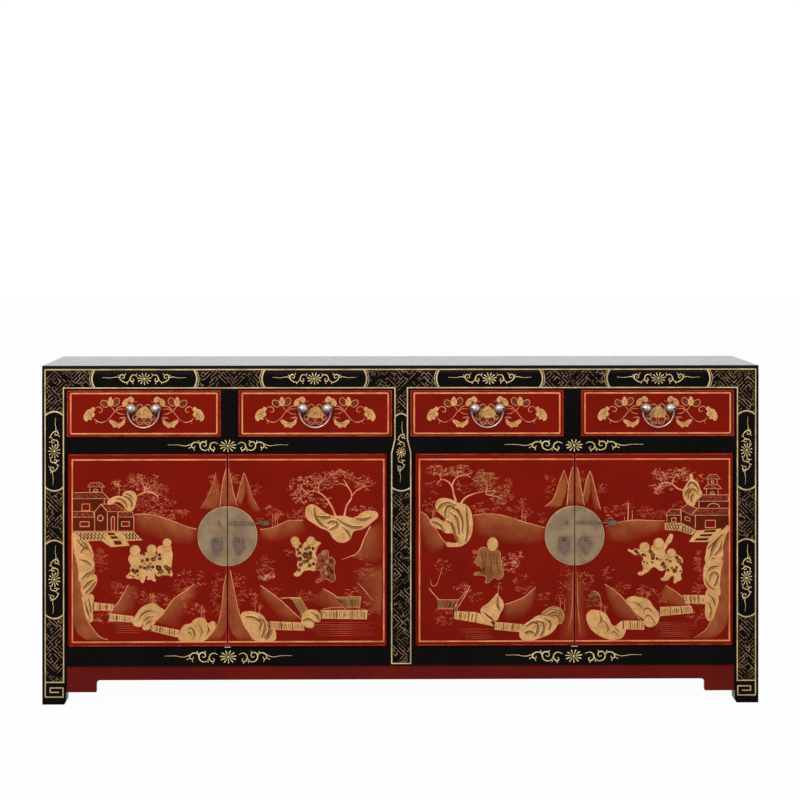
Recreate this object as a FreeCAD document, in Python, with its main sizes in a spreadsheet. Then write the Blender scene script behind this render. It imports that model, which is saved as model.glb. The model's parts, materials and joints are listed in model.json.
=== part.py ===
import FreeCAD, Part
import os
from types import SimpleNamespace

import Sketcher

# A lacquered sideboard: four drawers over two pairs of pivot-hung doors, on straight legs.
# Millimetres. X runs to the right, Y to the back, Z up; the origin is under the middle of the whole.

SIZES = {
    # Overall
    "width": 1800,
    "depth": 400,
    "height": 850,
    "top_thickness": 20,
    # Legs
    "leg_width": 60,
    "leg_depth": 45,
    "foot_chamfer_width": 5,
    "foot_chamfer_height": 9,
    # Front frame, from the floor up
    "apron_clearance": 30,
    "apron_height": 66,
    "apron_bridge_height": 36,
    "apron_end_length": 75,
    "apron_corner_radius": 10,
    "apron_thickness": 18,
    "apron_setback": 4,
    "bottom_rail_height": 46,
    "middle_rail_height": 39.5,
    "drawer_row_height": 120.5,
    "top_rail_height": 40,
    "rail_depth": 30,
    "divider_width": 40,
    "stile_top_width": 42,
    "stile_bottom_width": 64.5,
    "stile_taper_drop": 5,
    # Joinery
    "tenon_length": 25,
    "side_tenon_length": 16,
    "tenon_thickness": 10,
    "stub_tenon_length": 12,
    "stile_core": 12,
    "shoulder_wall": 3,
    "panel_tongue": 5,
    # Sides, back and inner boards
    "side_rail_depth": 25,
    "side_panel_thickness": 12,
    "side_panel_recess": 6,
    "back_rail_depth": 25,
    "back_panel_thickness": 8,
    "back_panel_recess": 10,
    "board_thickness": 12,
    "dust_board_drop": 8.5,
    "partition_thickness": 18,
    "runner_ledge": 14,
    "guide_height": 30,
    # Drawers
    "drawer_gap": 1.5,
    "drawer_front_thickness": 18,
    "drawer_side_thickness": 12,
    "drawer_side_height": 85,
    "drawer_back_clearance": 34,
    "drawer_bottom_thickness": 5,
    "drawer_bottom_lift": 8,
    "groove_depth": 4,
    # Drawer pulls
    "pull_rise": 12,
    "pull_spacing": 62,
    "ball_diameter": 28,
    "ball_standoff": 14,
    "collar_diameter": 16,
    "collar_length": 6,
    "stem_diameter": 6,
    "stem_end": 4,
    "bail_span": 78,
    "bail_drop": 46.5,
    "bail_wire": 4.5,
    "bail_pin_length": 11,
    "slot_clearance": 0.75,
    # Doors
    "door_thickness": 18,
    "door_side_gap": 2,
    "door_seam_gap": 2,
    "door_top_gap": 1.5,
    "door_bottom_gap": 3,
    "pivot_diameter": 10,
    "pivot_length": 12,
    "catch_width": 16,
    "catch_thickness": 1.5,
    "catch_height": 10,
    "catch_setback": 1,
    # Lock plates, staples, teardrop pulls and pins
    "lock_rise": 277,
    "plate_diameter": 150,
    "plate_thickness": 2,
    "plate_bevel": 3,
    "staple_offset": 20,
    "staple_rise": 33,
    "staple_wire": 2.4,
    "staple_clearance": 0.9,
    "staple_reach": 6,
    "eye_offset": 27,
    "eye_drop": 8.5,
    "eye_diameter": 7,
    "eye_reach": 8,
    "rivet_diameter": 4,
    "rivet_end": 3,
    "drop_width": 28,
    "drop_length": 45,
    "drop_foot_width": 13,
    "drop_crown": 7,
    "drop_thickness": 3,
    "drop_pin_diameter": 2.4,
    "drop_pin_hold": 2,
    "drop_notch_clearance": 0.6,
    "pin_diameter": 4.2,
    "pin_length": 106,
    "pin_head_length": 24,
    "pin_head_height": 13,
    "pin_head_thickness": 3.4,
    "pin_head_end_radius": 4,
    "pin_tip_gap": 1.5,
    # Clearances
    "fit_clearance": 0.05,
    "seat_clearance": 0.3,
    "overrun": 5,
}


class Size:
    """A length as a number, with the sheet expression that it is worked out from."""

    def __init__(self, number, text):
        self.number = number
        self.text = text

    def __add__(self, other):
        other = size_of(other)
        return Size(self.number + other.number, f"({self.text} + {other.text})")

    def __sub__(self, other):
        other = size_of(other)
        return Size(self.number - other.number, f"({self.text} - {other.text})")

    def __mul__(self, other):
        other = size_of(other)
        return Size(self.number * other.number, f"({self.text} * {other.text})")

    def __truediv__(self, other):
        other = size_of(other)
        return Size(self.number / other.number, f"({self.text} / {other.text})")

    def __neg__(self):
        return Size(-self.number, f"(0 - {self.text})")

    def __radd__(self, other):
        return size_of(other) + self

    def __rmul__(self, other):
        return size_of(other) * self


def size_of(value):
    return value if isinstance(value, Size) else Size(value, str(value))


doc = FreeCAD.newDocument("sideboard")
sheet = doc.addObject("Spreadsheet::Sheet", "Sheet")
for row, (name, number) in enumerate(SIZES.items(), start=1):
    sheet.set(f"A{row}", name)
    sheet.set(f"B{row}", str(number))
    sheet.setAlias(f"B{row}", name)
doc.recompute()
s = SimpleNamespace(**{name: Size(number, f"Sheet.{name}") for name, number in SIZES.items()})

# Levels and lines that several pieces share
reach = s.ball_standoff + s.ball_diameter / 2
front = (reach - s.depth) / 2
back = front + s.depth
half = s.width / 2
leg_top = s.height - s.top_thickness
leg_line = half - s.leg_width
drawer_top = leg_top - s.top_rail_height
drawer_base = drawer_top - s.drawer_row_height
door_top = drawer_base - s.middle_rail_height
apron_top = s.apron_clearance + s.apron_height
door_base = apron_top + s.bottom_rail_height
rail_back = front + s.rail_depth
panel_back = back - s.back_panel_recess
panel_front = panel_back - s.back_panel_thickness
tenon_front = front + (s.rail_depth - s.tenon_thickness) / 2
shoulder = s.panel_tongue + s.shoulder_wall
opening = (leg_line - s.stile_top_width / 2 - s.divider_width) / 2
divider_line = s.stile_top_width / 2 + opening
door_line = s.stile_bottom_width / 2
seam = (leg_line + door_line) / 2
dust_top = drawer_base - s.dust_board_drop
drawer_floor = drawer_base + s.drawer_gap
side_inner = half - s.side_panel_recess - s.side_panel_thickness

ALONG = {
    "x": FreeCAD.Rotation(FreeCAD.Vector(0, 1, 0), 90),
    "front": FreeCAD.Rotation(FreeCAD.Vector(1, 0, 0), 90),
    "z": FreeCAD.Rotation(),
}
HEAD_TURNS = {"left": 40, "right": 10}
nodes = []


def bind(item, prop, value):
    item.setExpression(prop, size_of(value).text)


def place(item, corner, rotation=FreeCAD.Rotation()):
    """Puts an item's own origin at a corner, each coordinate tied to the sheet."""
    base = FreeCAD.Vector(*(size_of(value).number for value in corner))
    item.Placement = FreeCAD.Placement(base, rotation)
    for axis, value in zip("xyz", corner):
        bind(item, f"Placement.Base.{axis}", value)
    return item


def box(corner, extent):
    item = doc.addObject("Part::Box", "Block")
    for prop, value in zip(("Length", "Width", "Height"), extent):
        bind(item, prop, value)
    return place(item, corner)


def span(x_range, y_range, z_range):
    """A block between pairs of planes."""
    ranges = [(size_of(low), size_of(high)) for low, high in (x_range, y_range, z_range)]
    return box([low for low, high in ranges], [high - low for low, high in ranges])


def mirrored(low, high, side):
    """A range of X on the right-hand side, or its mirror image on the left."""
    return (low, high) if side > 0 else (-high, -low)


def cylinder(start, along, diameter, length):
    item = doc.addObject("Part::Cylinder", "Round")
    bind(item, "Radius", diameter / 2)
    bind(item, "Height", length)
    return place(item, start, ALONG[along])


def ball(centre, diameter):
    item = doc.addObject("Part::Sphere", "Ball")
    bind(item, "Radius", diameter / 2)
    return place(item, centre)


def fuse(*pieces):
    if len(pieces) == 1:
        return pieces[0]
    item = doc.addObject("Part::MultiFuse", "Joined")
    item.Shapes = list(pieces)
    return item


def cut(base, *tools):
    item = doc.addObject("Part::Cut", "Shaped")
    item.Base = base
    item.Tool = fuse(*tools)
    return item


def common(base, tool):
    item = doc.addObject("Part::Common", "Shared")
    item.Base = base
    item.Tool = tool
    return item


def group(*pieces):
    item = doc.addObject("Part::Compound", "Group")
    item.Links = list(pieces)
    return item


def node(label, item):
    """Names a finished sub-part; its label is the name of its file."""
    item.Label = label
    nodes.append(item)
    return item


def profile(name, outline, thickness):
    """A body padded backwards from an upright outline. Each outline entry is a corner (x, z); an
    entry with a radius and a centre goes on to the next corner along an arc."""
    body = doc.addObject("PartDesign::Body", name)
    sketch = body.newObject("Sketcher::SketchObject", f"{name}_outline")
    plane = next(item for item in body.Origin.OriginFeatures if item.Role == "XZ_Plane")
    sketch.AttachmentSupport = [(plane, "")]
    sketch.MapMode = "FlatFace"
    points = [FreeCAD.Vector(size_of(entry[0]).number, size_of(entry[1]).number, 0) for entry in outline]
    ends = []
    for entry, start, stop in zip(outline, points, points[1:] + points[:1]):
        if len(entry) == 2:
            ends.append((sketch.addGeometry(Part.LineSegment(start, stop)), 1, 2))
            continue
        centre = FreeCAD.Vector(*(size_of(value).number for value in entry[3]), 0)
        forward = (start - centre).cross(stop - centre).z > 0
        first, last = (start, stop) if forward else (stop, start)
        angles = [FreeCAD.Vector(1, 0, 0).getAngle(point - centre) for point in (first, last)]
        angles = [angle if point.y >= centre.y else -angle for angle, point in zip(angles, (first, last))]
        circle = Part.Circle(centre, FreeCAD.Vector(0, 0, 1), size_of(entry[2]).number)
        arc = sketch.addGeometry(Part.ArcOfCircle(circle, *angles))
        ends.append((arc, 1, 2) if forward else (arc, 2, 1))
        index = sketch.addConstraint(Sketcher.Constraint("Radius", arc, size_of(entry[2]).number))
        bind(sketch, f"Constraints[{index}]", entry[2])
    for here, following, entry, point in zip(ends, ends[1:] + ends[:1], outline, points):
        joint = Sketcher.Constraint("Coincident", here[0], here[2], following[0], following[1])
        sketch.addConstraint(joint)
        for kind, number, value in (("DistanceX", point.x, entry[0]), ("DistanceY", point.y, entry[1])):
            index = sketch.addConstraint(Sketcher.Constraint(kind, -1, 1, here[0], here[1], number))
            bind(sketch, f"Constraints[{index}]", value)
    pad = body.newObject("PartDesign::Pad", f"{name}_pad")
    pad.Profile = sketch
    pad.Reversed = True
    bind(pad, "Length", thickness)
    body.Tip = pad
    return body


def x_tenon(side, line, low, high, length=s.tenon_length):
    """A tenon that runs on from a line in X, to the right or to the left."""
    x_range = (line, line + length) if side > 0 else (line - length, line)
    y_range = (tenon_front, tenon_front + s.tenon_thickness)
    return span(x_range, y_range, (low + shoulder, high - shoulder))


def z_tenon(centre, width, low):
    """A stub tenon that runs up from a level."""
    x_range = (centre - width / 2 + shoulder, centre + width / 2 - shoulder)
    y_range = (tenon_front, tenon_front + s.tenon_thickness)
    return span(x_range, y_range, (low, low + s.stub_tenon_length))


def leg_blank(name, side, y):
    """A straight leg whose foot is chamfered on its inner side."""
    if side < 0:
        foot = [(0, 0), (s.leg_width - s.foot_chamfer_width, 0), (s.leg_width, s.foot_chamfer_height)]
        outline = foot + [(s.leg_width, leg_top), (0, leg_top)]
    else:
        foot = [(0, s.foot_chamfer_height), (s.foot_chamfer_width, 0), (s.leg_width, 0)]
        outline = foot + [(s.leg_width, leg_top), (0, leg_top)]
    body = profile(name, outline, s.leg_depth)
    return place(body, (-half if side < 0 else leg_line, y, 0))


def stile_blank():
    """The centre stile, narrow between the drawers and wide between the doors."""
    step = (s.stile_bottom_width - s.stile_top_width) / 2
    right = s.stile_bottom_width
    flare_low = door_top - apron_top
    flare_high = drawer_base - s.stile_taper_drop - apron_top
    top = drawer_top - apron_top
    outline = [(0, 0), (right, 0), (right, flare_low), (right - step, flare_high), (right - step, top)]
    outline += [(step, top), (step, flare_high), (0, flare_low)]
    return place(profile("stile_blank", outline, s.rail_depth), (-door_line, front, apron_top))


def apron_blank():
    """The shaped skirt: two end blocks and a thin bridge with rounded inner corners."""
    length = leg_line * 2
    inner = s.apron_end_length
    radius = s.apron_corner_radius
    arch = s.apron_height - s.apron_bridge_height
    outline = [
        (0, 0),
        (inner, 0),
        (inner, arch - radius, radius, (inner + radius, arch - radius)),
        (inner + radius, arch),
        (length - inner - radius, arch, radius, (length - inner - radius, arch - radius)),
        (length - inner, arch - radius),
        (length - inner, 0),
        (length, 0),
        (length, s.apron_height),
        (0, s.apron_height),
    ]
    body = profile("apron_blank", outline, s.apron_thickness)
    return place(body, (-leg_line, front + s.apron_setback, s.apron_clearance))


def pivot_x(number):
    """Where a door's pivots stand: the outer doors by the legs, the inner ones by the stile."""
    edge = s.door_side_gap + s.door_thickness / 2
    return {1: edge - leg_line, 2: -door_line - edge, 3: door_line + edge, 4: leg_line - edge}[number]


def pivot_bores(numbers):
    """Sockets for the doors' pivots, above and below the doors."""
    y = front + s.door_thickness / 2
    deep = s.pivot_length + s.seat_clearance
    wide = s.pivot_diameter + s.fit_clearance * 2
    upper = [cylinder((pivot_x(n), y, door_top - s.overrun), "z", wide, deep + s.overrun) for n in numbers]
    lower = [cylinder((pivot_x(n), y, door_base - deep), "z", wide, deep + s.overrun) for n in numbers]
    return upper, lower


def make_carcass():
    """Legs, rails, stile, dividers, apron, panels and boards of the fixed case."""
    legs = {}
    for end, y in (("front", front), ("back", back - s.leg_depth)):
        for hand, side in (("left", -1), ("right", 1)):
            legs[end, hand] = leg_blank(f"{end}_{hand}_leg_blank", side, y)
    mortises = {key: [] for key in legs}
    stile = stile_blank()
    stile_mortises = []
    top_rail_mortises = []
    rail_y = (front, rail_back)

    # The top rail, whole from leg to leg
    top_tenons = {side: x_tenon(side, leg_line * side, drawer_top, leg_top) for side in (-1, 1)}
    mortises["front", "left"].append(top_tenons[-1])
    mortises["front", "right"].append(top_tenons[1])
    top_rail = fuse(span((-leg_line, leg_line), rail_y, (drawer_top, leg_top)), *top_tenons.values())
    stile_tenon = z_tenon(size_of(0), s.stile_top_width, drawer_top)
    top_rail_mortises.append(stile_tenon)

    # Middle and bottom rails, each in two lengths that meet the stile
    halves = {"middle": [], "bottom": []}
    dividers = []
    for side, hand, doors in ((-1, "left", (1, 2)), (1, "right", (3, 4))):
        upper, lower = pivot_bores(doors)
        centre = (divider_line + s.divider_width / 2) * side
        divider_x = mirrored(divider_line, divider_line + s.divider_width, side)
        head = z_tenon(centre, s.divider_width, drawer_top)
        heel = z_tenon(centre, s.divider_width, drawer_base - s.stub_tenon_length)
        dividers.append(fuse(span(divider_x, rail_y, (drawer_base, drawer_top)), head, heel))
        top_rail_mortises.append(head)
        rows = (("middle", door_top, drawer_base, upper + [heel]), ("bottom", apron_top, door_base, lower))
        for row, low, high, bores in rows:
            blank = cut(span(mirrored(size_of(0), leg_line, side), rail_y, (low, high)), stile)
            outer = x_tenon(side, leg_line * side, low, high)
            inner_x = mirrored(s.stile_core / 2, door_line, side)
            inner_y = (tenon_front, tenon_front + s.tenon_thickness)
            inner = span(inner_x, inner_y, (low + shoulder, high - shoulder))
            halves[row].append(cut(fuse(blank, outer, inner), *bores))
            mortises["front", hand].append(outer)
            stile_mortises.append(inner)

    # The apron under the bottom rails
    apron_tenons = []
    for side, hand in ((-1, "left"), (1, "right")):
        apron_tenons.append(x_tenon(side, leg_line * side, s.apron_clearance, apron_top))
        mortises["front", hand].append(apron_tenons[-1])

    # Side rails and panels, back rails and panel
    side_rails = []
    side_panels = {}
    side_y = (front + s.leg_depth, back - s.leg_depth)
    panel_z = (door_base - s.panel_tongue, drawer_top + s.panel_tongue)
    for side, hand in ((-1, "left"), (1, "right")):
        panel_x = mirrored(side_inner, side_inner + s.side_panel_thickness, side)
        panel_y = (side_y[0] - s.panel_tongue, side_y[1] + s.panel_tongue)
        side_panels[hand] = span(panel_x, panel_y, panel_z)
        rail_x = mirrored(half - s.side_rail_depth, half, side)
        tenon_x = mirrored(
            half - (s.side_rail_depth + s.tenon_thickness) / 2,
            half - (s.side_rail_depth - s.tenon_thickness) / 2,
            side,
        )
        for low, high in ((apron_top, door_base), (drawer_top, leg_top)):
            tenon_z = (low + shoulder, high - shoulder)
            ahead = span(tenon_x, (side_y[0] - s.side_tenon_length, side_y[0]), tenon_z)
            behind = span(tenon_x, (side_y[1], side_y[1] + s.side_tenon_length), tenon_z)
            bar = fuse(span(rail_x, side_y, (low, high)), ahead, behind)
            side_rails.append(cut(bar, side_panels[hand]))
            mortises["front", hand].append(ahead)
            mortises["back", hand].append(behind)
        mortises["front", hand].append(side_panels[hand])
        mortises["back", hand].append(side_panels[hand])
    panel_x = (-leg_line - s.panel_tongue, leg_line + s.panel_tongue)
    back_panel = span(panel_x, (panel_front, panel_back), panel_z)
    back_rails = []
    back_y = (back - s.back_rail_depth, back)
    tenon_y = (back_y[0] + (s.back_rail_depth - s.tenon_thickness) / 2,)
    tenon_y += (tenon_y[0] + s.tenon_thickness,)
    for low, high in ((apron_top, door_base), (drawer_top, leg_top)):
        tenon_z = (low + shoulder, high - shoulder)
        ends = {-1: span((-leg_line - s.tenon_length, -leg_line), tenon_y, tenon_z)}
        ends[1] = span((leg_line, leg_line + s.tenon_length), tenon_y, tenon_z)
        bar = span((-leg_line, leg_line), back_y, (low, high))
        back_rails.append(cut(fuse(bar, *ends.values()), back_panel))
        mortises["back", "left"].append(ends[-1])
        mortises["back", "right"].append(ends[1])
    for hand in ("left", "right"):
        mortises["back", hand].append(back_panel)

    node("top_panel", span((-half, half), (front, back), (leg_top, s.height)))
    for (end, hand), blank in legs.items():
        node(f"leg_{end}_{hand}", cut(blank, *mortises[end, hand]))
    node("front_top_rail", cut(top_rail, *top_rail_mortises))
    node("middle_rails", group(*halves["middle"]))
    node("bottom_rails", group(*halves["bottom"]))
    node("centre_stile", cut(fuse(stile, stile_tenon), *stile_mortises))
    node("drawer_dividers", group(*dividers))
    node("front_apron", fuse(apron_blank(), *apron_tenons))
    node("side_rails", group(*side_rails))
    node("side_panel_left", side_panels["left"])
    node("side_panel_right", side_panels["right"])
    node("back_rails", group(*back_rails))
    node("back_panel", back_panel)

    floor_x = half - s.side_rail_depth
    floor_y = (rail_back, back - s.back_rail_depth)
    floor = span((-floor_x, floor_x), floor_y, (door_base - s.board_thickness, door_base))
    node("bottom_board", cut(floor, *legs.values()))
    dust_z = (dust_top - s.board_thickness, dust_top)
    dust = span((-side_inner, side_inner), (rail_back, panel_front), dust_z)
    node("dust_board", cut(dust, *legs.values()))
    wall = s.partition_thickness / 2
    wall_z = (door_base, dust_z[0])
    node("centre_partition", span((-wall, wall), (rail_back, panel_front), wall_z))
    make_runners(legs)
    make_catch_plates()


def make_runners(legs):
    """Strips on the dust board that carry the drawers, each with a guide between drawer sides."""
    y_range = (rail_back, panel_front)
    ledge_top = drawer_floor - s.seat_clearance
    guide_top = drawer_floor + s.guide_height
    ledge = s.runner_ledge
    stile_side = s.stile_top_width / 2
    divider_far = divider_line + s.divider_width
    runners = []
    for low, high, ledge_low, ledge_high in (
        (-side_inner, -leg_line, 0, ledge),
        (-divider_far, -divider_line, ledge, ledge),
        (-stile_side, stile_side, ledge, ledge),
        (divider_line, divider_far, ledge, ledge),
        (leg_line, side_inner, ledge, 0),
    ):
        strip = span((low - ledge_low, high + ledge_high), y_range, (dust_top, ledge_top))
        guide = span((low, high), y_range, (dust_top, guide_top))
        runners.append(cut(fuse(strip, guide), *legs.values()))
    node("drawer_runners", group(*runners))


def make_catch_plates():
    """Angle plates on the bottom rails where each pair of doors meets, which stop the doors."""
    stop = front + s.door_thickness + s.seat_clearance
    plates = []
    for side in (-1, 1):
        x_range = (seam * side - s.catch_width / 2, seam * side + s.catch_width / 2)
        foot = span(
            x_range,
            (front + s.catch_setback, stop + s.catch_thickness),
            (door_base, door_base + s.catch_thickness),
        )
        upright = span(x_range, (stop, stop + s.catch_thickness), (door_base, door_base + s.catch_height))
        plates.append(fuse(foot, upright))
    node("catch_plates", group(*plates))


def make_drawer(number, low, high):
    """One drawer between two lines in X, with its ball posts and bail."""
    name = f"drawer_{number}"
    left = low + s.drawer_gap
    right = high - s.drawer_gap
    middle = (left + right) / 2
    top = drawer_top - s.drawer_gap
    front_back = front + s.drawer_front_thickness
    box_back = panel_front - s.drawer_back_clearance
    wall = s.drawer_side_thickness
    bottom_z = (drawer_floor + s.drawer_bottom_lift,)
    bottom_z += (bottom_z[0] + s.drawer_bottom_thickness,)
    bottom = span(
        (left + wall - s.groove_depth, right - wall + s.groove_depth),
        (front_back - s.groove_depth, box_back),
        bottom_z,
    )
    sides_z = (drawer_floor, drawer_floor + s.drawer_side_height)
    sides = [
        cut(span((left, left + wall), (front_back, box_back), sides_z), bottom),
        cut(span((right - wall, right), (front_back, box_back), sides_z), bottom),
    ]
    end = span((left + wall, right - wall), (box_back - wall, box_back), (bottom_z[1], sides_z[1]))
    panel = span((left, right), (front, front_back), (drawer_floor, top))

    pull_z = (drawer_floor + top) / 2 + s.pull_rise
    pull_y = front - s.ball_standoff
    wire = s.bail_wire
    arm = s.bail_span / 2
    slot_half = wire / 2 + s.slot_clearance
    posts = []
    stem_holes = []
    hole = s.stem_diameter + s.fit_clearance * 2
    for side in (-1, 1):
        x = middle + s.pull_spacing / 2 * side
        knob = ball((x, pull_y, pull_z), s.ball_diameter)
        collar = cylinder((x, front, pull_z), "front", s.collar_diameter, s.collar_length)
        stem_end = front_back + s.stem_end
        stem = cylinder((x, stem_end, pull_z), "front", s.stem_diameter, stem_end - pull_y)
        arm_x = middle + arm * side
        slot = span(
            (arm_x - slot_half, arm_x + slot_half),
            (front - reach - s.overrun, pull_y + slot_half),
            (pull_z - s.ball_diameter, pull_z + slot_half),
        )
        deep = s.bail_pin_length + s.seat_clearance
        bore_x = arm_x if side < 0 else arm_x - deep
        bore = cylinder((bore_x, pull_y, pull_z), "x", wire + s.fit_clearance * 2, deep)
        posts.append(cut(fuse(knob, collar, stem), slot, bore))
        stem_holes.append(cylinder((x, front_back + s.overrun, pull_z), "front", hole,
                                   s.drawer_front_thickness + s.overrun * 2))
    node(f"{name}_front", cut(panel, bottom, *stem_holes))
    node(f"{name}_box", group(*sides, end))
    node(f"{name}_bottom", bottom)
    node(f"{name}_posts", group(*posts))
    node(f"{name}_bail", make_bail(middle, pull_y, pull_z))


def make_bail(middle, y, z):
    """A wire bail: a half-round grip, two short arms and two pins that turn inwards."""
    wire = s.bail_wire
    arm = s.bail_span / 2
    arm_length = s.bail_drop - arm
    grip = doc.addObject("Part::Torus", "Grip")
    bind(grip, "Radius1", arm)
    bind(grip, "Radius2", wire / 2)
    grip.Angle3 = 180
    place(grip, (middle, y, z - arm_length), FreeCAD.Rotation(FreeCAD.Vector(1, 0, 0), -90))
    pieces = [grip]
    for side in (-1, 1):
        x = middle + arm * side
        pieces.append(cylinder((x, y, z - arm_length), "z", wire, arm_length))
        pieces.append(ball((x, y, z), wire))
        pin_x = x if side < 0 else x - s.bail_pin_length
        pieces.append(cylinder((pin_x, y, z), "x", wire, s.bail_pin_length))
    return fuse(*pieces)


def make_door(number):
    """One door with its half lock plate, staple, pull eye and teardrop."""
    name = f"door_{number}"
    side = -1 if number < 3 else 1
    opens = 1 if number % 2 else -1
    meeting = seam * side - s.door_seam_gap / 2 * opens
    pivot = pivot_x(number)
    low = door_base + s.door_bottom_gap
    high = door_top - s.door_top_gap
    y = front + s.door_thickness / 2
    slab_x = (pivot, meeting) if opens > 0 else (meeting, pivot)
    slab = span(slab_x, (front, front + s.door_thickness), (low, high))
    edge = cylinder((pivot, y, low), "z", s.door_thickness, high - low)
    foot_base = door_base - s.pivot_length
    foot = cylinder((pivot, y, foot_base), "z", s.pivot_diameter, low - foot_base)
    head = cylinder((pivot, y, high), "z", s.pivot_diameter, door_top - high + s.pivot_length)

    plate_z = low + s.lock_rise
    plate_front = front - s.plate_thickness
    disc = doc.addObject("Part::Cone", "Disc")
    bind(disc, "Radius1", s.plate_diameter / 2)
    bind(disc, "Radius2", s.plate_diameter / 2 - s.plate_bevel)
    bind(disc, "Height", s.plate_thickness)
    place(disc, (seam * side, front, plate_z), ALONG["front"])
    across = s.plate_diameter / 2 + s.overrun
    field_x = (meeting - across, meeting) if opens > 0 else (meeting, meeting + across)
    field_y = (plate_front - s.overrun, front + s.overrun)
    field = span(field_x, field_y, (plate_z - across, plate_z + across))

    staple_x = seam * side - s.staple_offset * opens
    eye_x = seam * side - s.eye_offset * opens
    staple_z = plate_z + s.staple_rise
    eye_z = plate_z - s.eye_drop
    staple = make_staple(staple_x, staple_z)
    eye = make_eye(eye_x, eye_z)
    hole = s.rivet_diameter + s.fit_clearance * 2
    holes = [
        cylinder((x, front + s.door_thickness + s.overrun, z), "front", hole,
                 s.door_thickness + s.plate_thickness + s.overrun * 2)
        for x, z in ((staple_x, staple_z), (eye_x, eye_z))
    ]
    node(f"{name}_panel", cut(fuse(slab, edge, foot, head), *holes))
    node(f"{name}_plate", cut(common(disc, field), *holes))
    node(f"{name}_posts", group(staple, eye))
    node(f"{name}_teardrop", make_teardrop(f"teardrop_{number}", eye_x, plate_front - s.eye_reach, eye_z))


def rivet(x, z, tip):
    """A round rivet from a tip in front of the plate, through plate and door."""
    rivet_back = front + s.door_thickness + s.rivet_end
    return cylinder((x, rivet_back, z), "front", s.rivet_diameter, rivet_back - tip)


def make_staple(x, z):
    """A wire ring that the lock pin slides through, on its rivet."""
    tip = front - s.plate_thickness - s.staple_reach
    ring_radius = (s.pin_diameter + s.staple_wire) / 2 + s.staple_clearance
    ring = doc.addObject("Part::Torus", "Ring")
    bind(ring, "Radius1", ring_radius)
    bind(ring, "Radius2", s.staple_wire / 2)
    place(ring, (x, tip, z), ALONG["x"])
    return fuse(ring, rivet(x, z, tip + ring_radius))


def make_eye(x, z):
    """A round-nosed eye on the plate, bored across for the cross pin of its pull."""
    tip = front - s.plate_thickness - s.eye_reach
    shank = cylinder((x, front - s.plate_thickness, z), "front", s.eye_diameter, s.eye_reach)
    nose = ball((x, tip, z), s.eye_diameter)
    hole = s.drop_pin_diameter + s.fit_clearance * 2
    bore = cylinder((x - s.eye_diameter, tip, z), "x", hole, s.eye_diameter * 2)
    return cut(fuse(shank, nose, rivet(x, z, tip)), bore)


def make_teardrop(name, x, y, z):
    """A flat drop, broad above and narrow below, on a cross pin in a notch round its eye."""
    wide = s.drop_width / 2
    narrow = s.drop_foot_width / 2
    crown = s.drop_length - wide
    rise = crown - narrow
    inset = wide - narrow
    flank = (inset * inset + rise * rise) / (inset * 2)
    outline = [
        (wide, 0, narrow, (wide, narrow)),
        (wide + narrow, narrow, flank, (s.drop_width - flank, crown)),
        (s.drop_width, crown, wide, (wide, crown)),
        (wide, s.drop_length, wide, (wide, crown)),
        (0, crown, flank, (flank, crown)),
        (wide - narrow, narrow, narrow, (wide, narrow)),
    ]
    blank = profile(name, outline, s.drop_thickness)
    place(blank, (x - wide, y - s.drop_thickness / 2, z + s.drop_crown - s.drop_length))
    gap = s.eye_diameter / 2 + s.drop_notch_clearance
    deep = s.drop_thickness
    notch = span((x - gap, x + gap), (y - deep, y + deep), (z - gap, z + s.drop_crown + s.overrun))
    pin_half = gap + s.drop_pin_hold
    pin = cylinder((x - pin_half, y, z), "x", s.drop_pin_diameter, pin_half * 2)
    return fuse(cut(blank, notch), pin)


def make_pin_head():
    """The flat oval head of a lock pin, of four arcs, standing upright at its own origin."""
    half_length = s.pin_head_length / 2
    half_height = s.pin_head_height / 2
    tight = s.pin_head_end_radius
    run = half_length - tight
    flank = (half_height * half_height + run * run - tight * tight) / (half_height - tight) / 2
    drop = flank - half_height
    reach_x = flank * run / (flank - tight)
    reach_z = flank * drop / (flank - tight) - drop
    low = half_height - reach_z
    high = half_height + reach_z
    outline = [
        (half_length + reach_x, low, tight, (half_length + run, half_height)),
        (half_length + reach_x, high, flank, (half_length, half_height - drop)),
        (half_length - reach_x, high, tight, (half_length - run, half_height)),
        (half_length - reach_x, low, flank, (half_length, half_height + drop)),
    ]
    return profile("pin_head", outline, s.pin_head_thickness)


def make_lock_pin(label, side, turn):
    """The sliding pin of one lock, drawn back into the right-hand door's staple; its flat oval head
    hangs turned about the rod by an angle."""
    nose = s.pin_diameter / 2
    head_start = s.pin_length - s.pin_head_length
    rod = cylinder((nose, 0, 0), "x", s.pin_diameter, head_start + s.pin_head_end_radius - nose)
    tip = ball((nose, 0, 0), s.pin_diameter)
    head = place(make_pin_head(), (head_start, -s.pin_head_thickness / 2, -s.pin_head_height / 2))
    y = front - s.plate_thickness - s.staple_reach
    z = door_base + s.door_bottom_gap + s.lock_rise + s.staple_rise
    turned = FreeCAD.Rotation(FreeCAD.Vector(1, 0, 0), turn)
    node(label, place(fuse(rod, tip, head), (seam * side + s.pin_tip_gap, y, z), turned))


make_carcass()
drawer_lines = [
    (-leg_line, -divider_line - s.divider_width),
    (-divider_line, -s.stile_top_width / 2),
    (s.stile_top_width / 2, divider_line),
    (divider_line + s.divider_width, leg_line),
]
for number, (low, high) in enumerate(drawer_lines, start=1):
    make_drawer(number, low, high)
for number in (1, 2, 3, 4):
    make_door(number)
make_lock_pin("lock_pin_left", -1, HEAD_TURNS["left"])
make_lock_pin("lock_pin_right", 1, HEAD_TURNS["right"])
doc.recompute()

for item in doc.Objects:
    if "Invalid" in item.State or "Error" in item.State:
        raise RuntimeError(f"{item.Label} failed: {item.State}")
os.makedirs("parts", exist_ok=True)
for item in nodes:
    if item.Shape.isNull() or not item.Shape.isValid():
        raise RuntimeError(f"{item.Label} has no valid shape")
    item.Shape.exportStep(f"parts/{item.Label}.step")
print(len(nodes), "nodes,", sum(len(item.Shape.Solids) for item in nodes), "solids")
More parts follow.
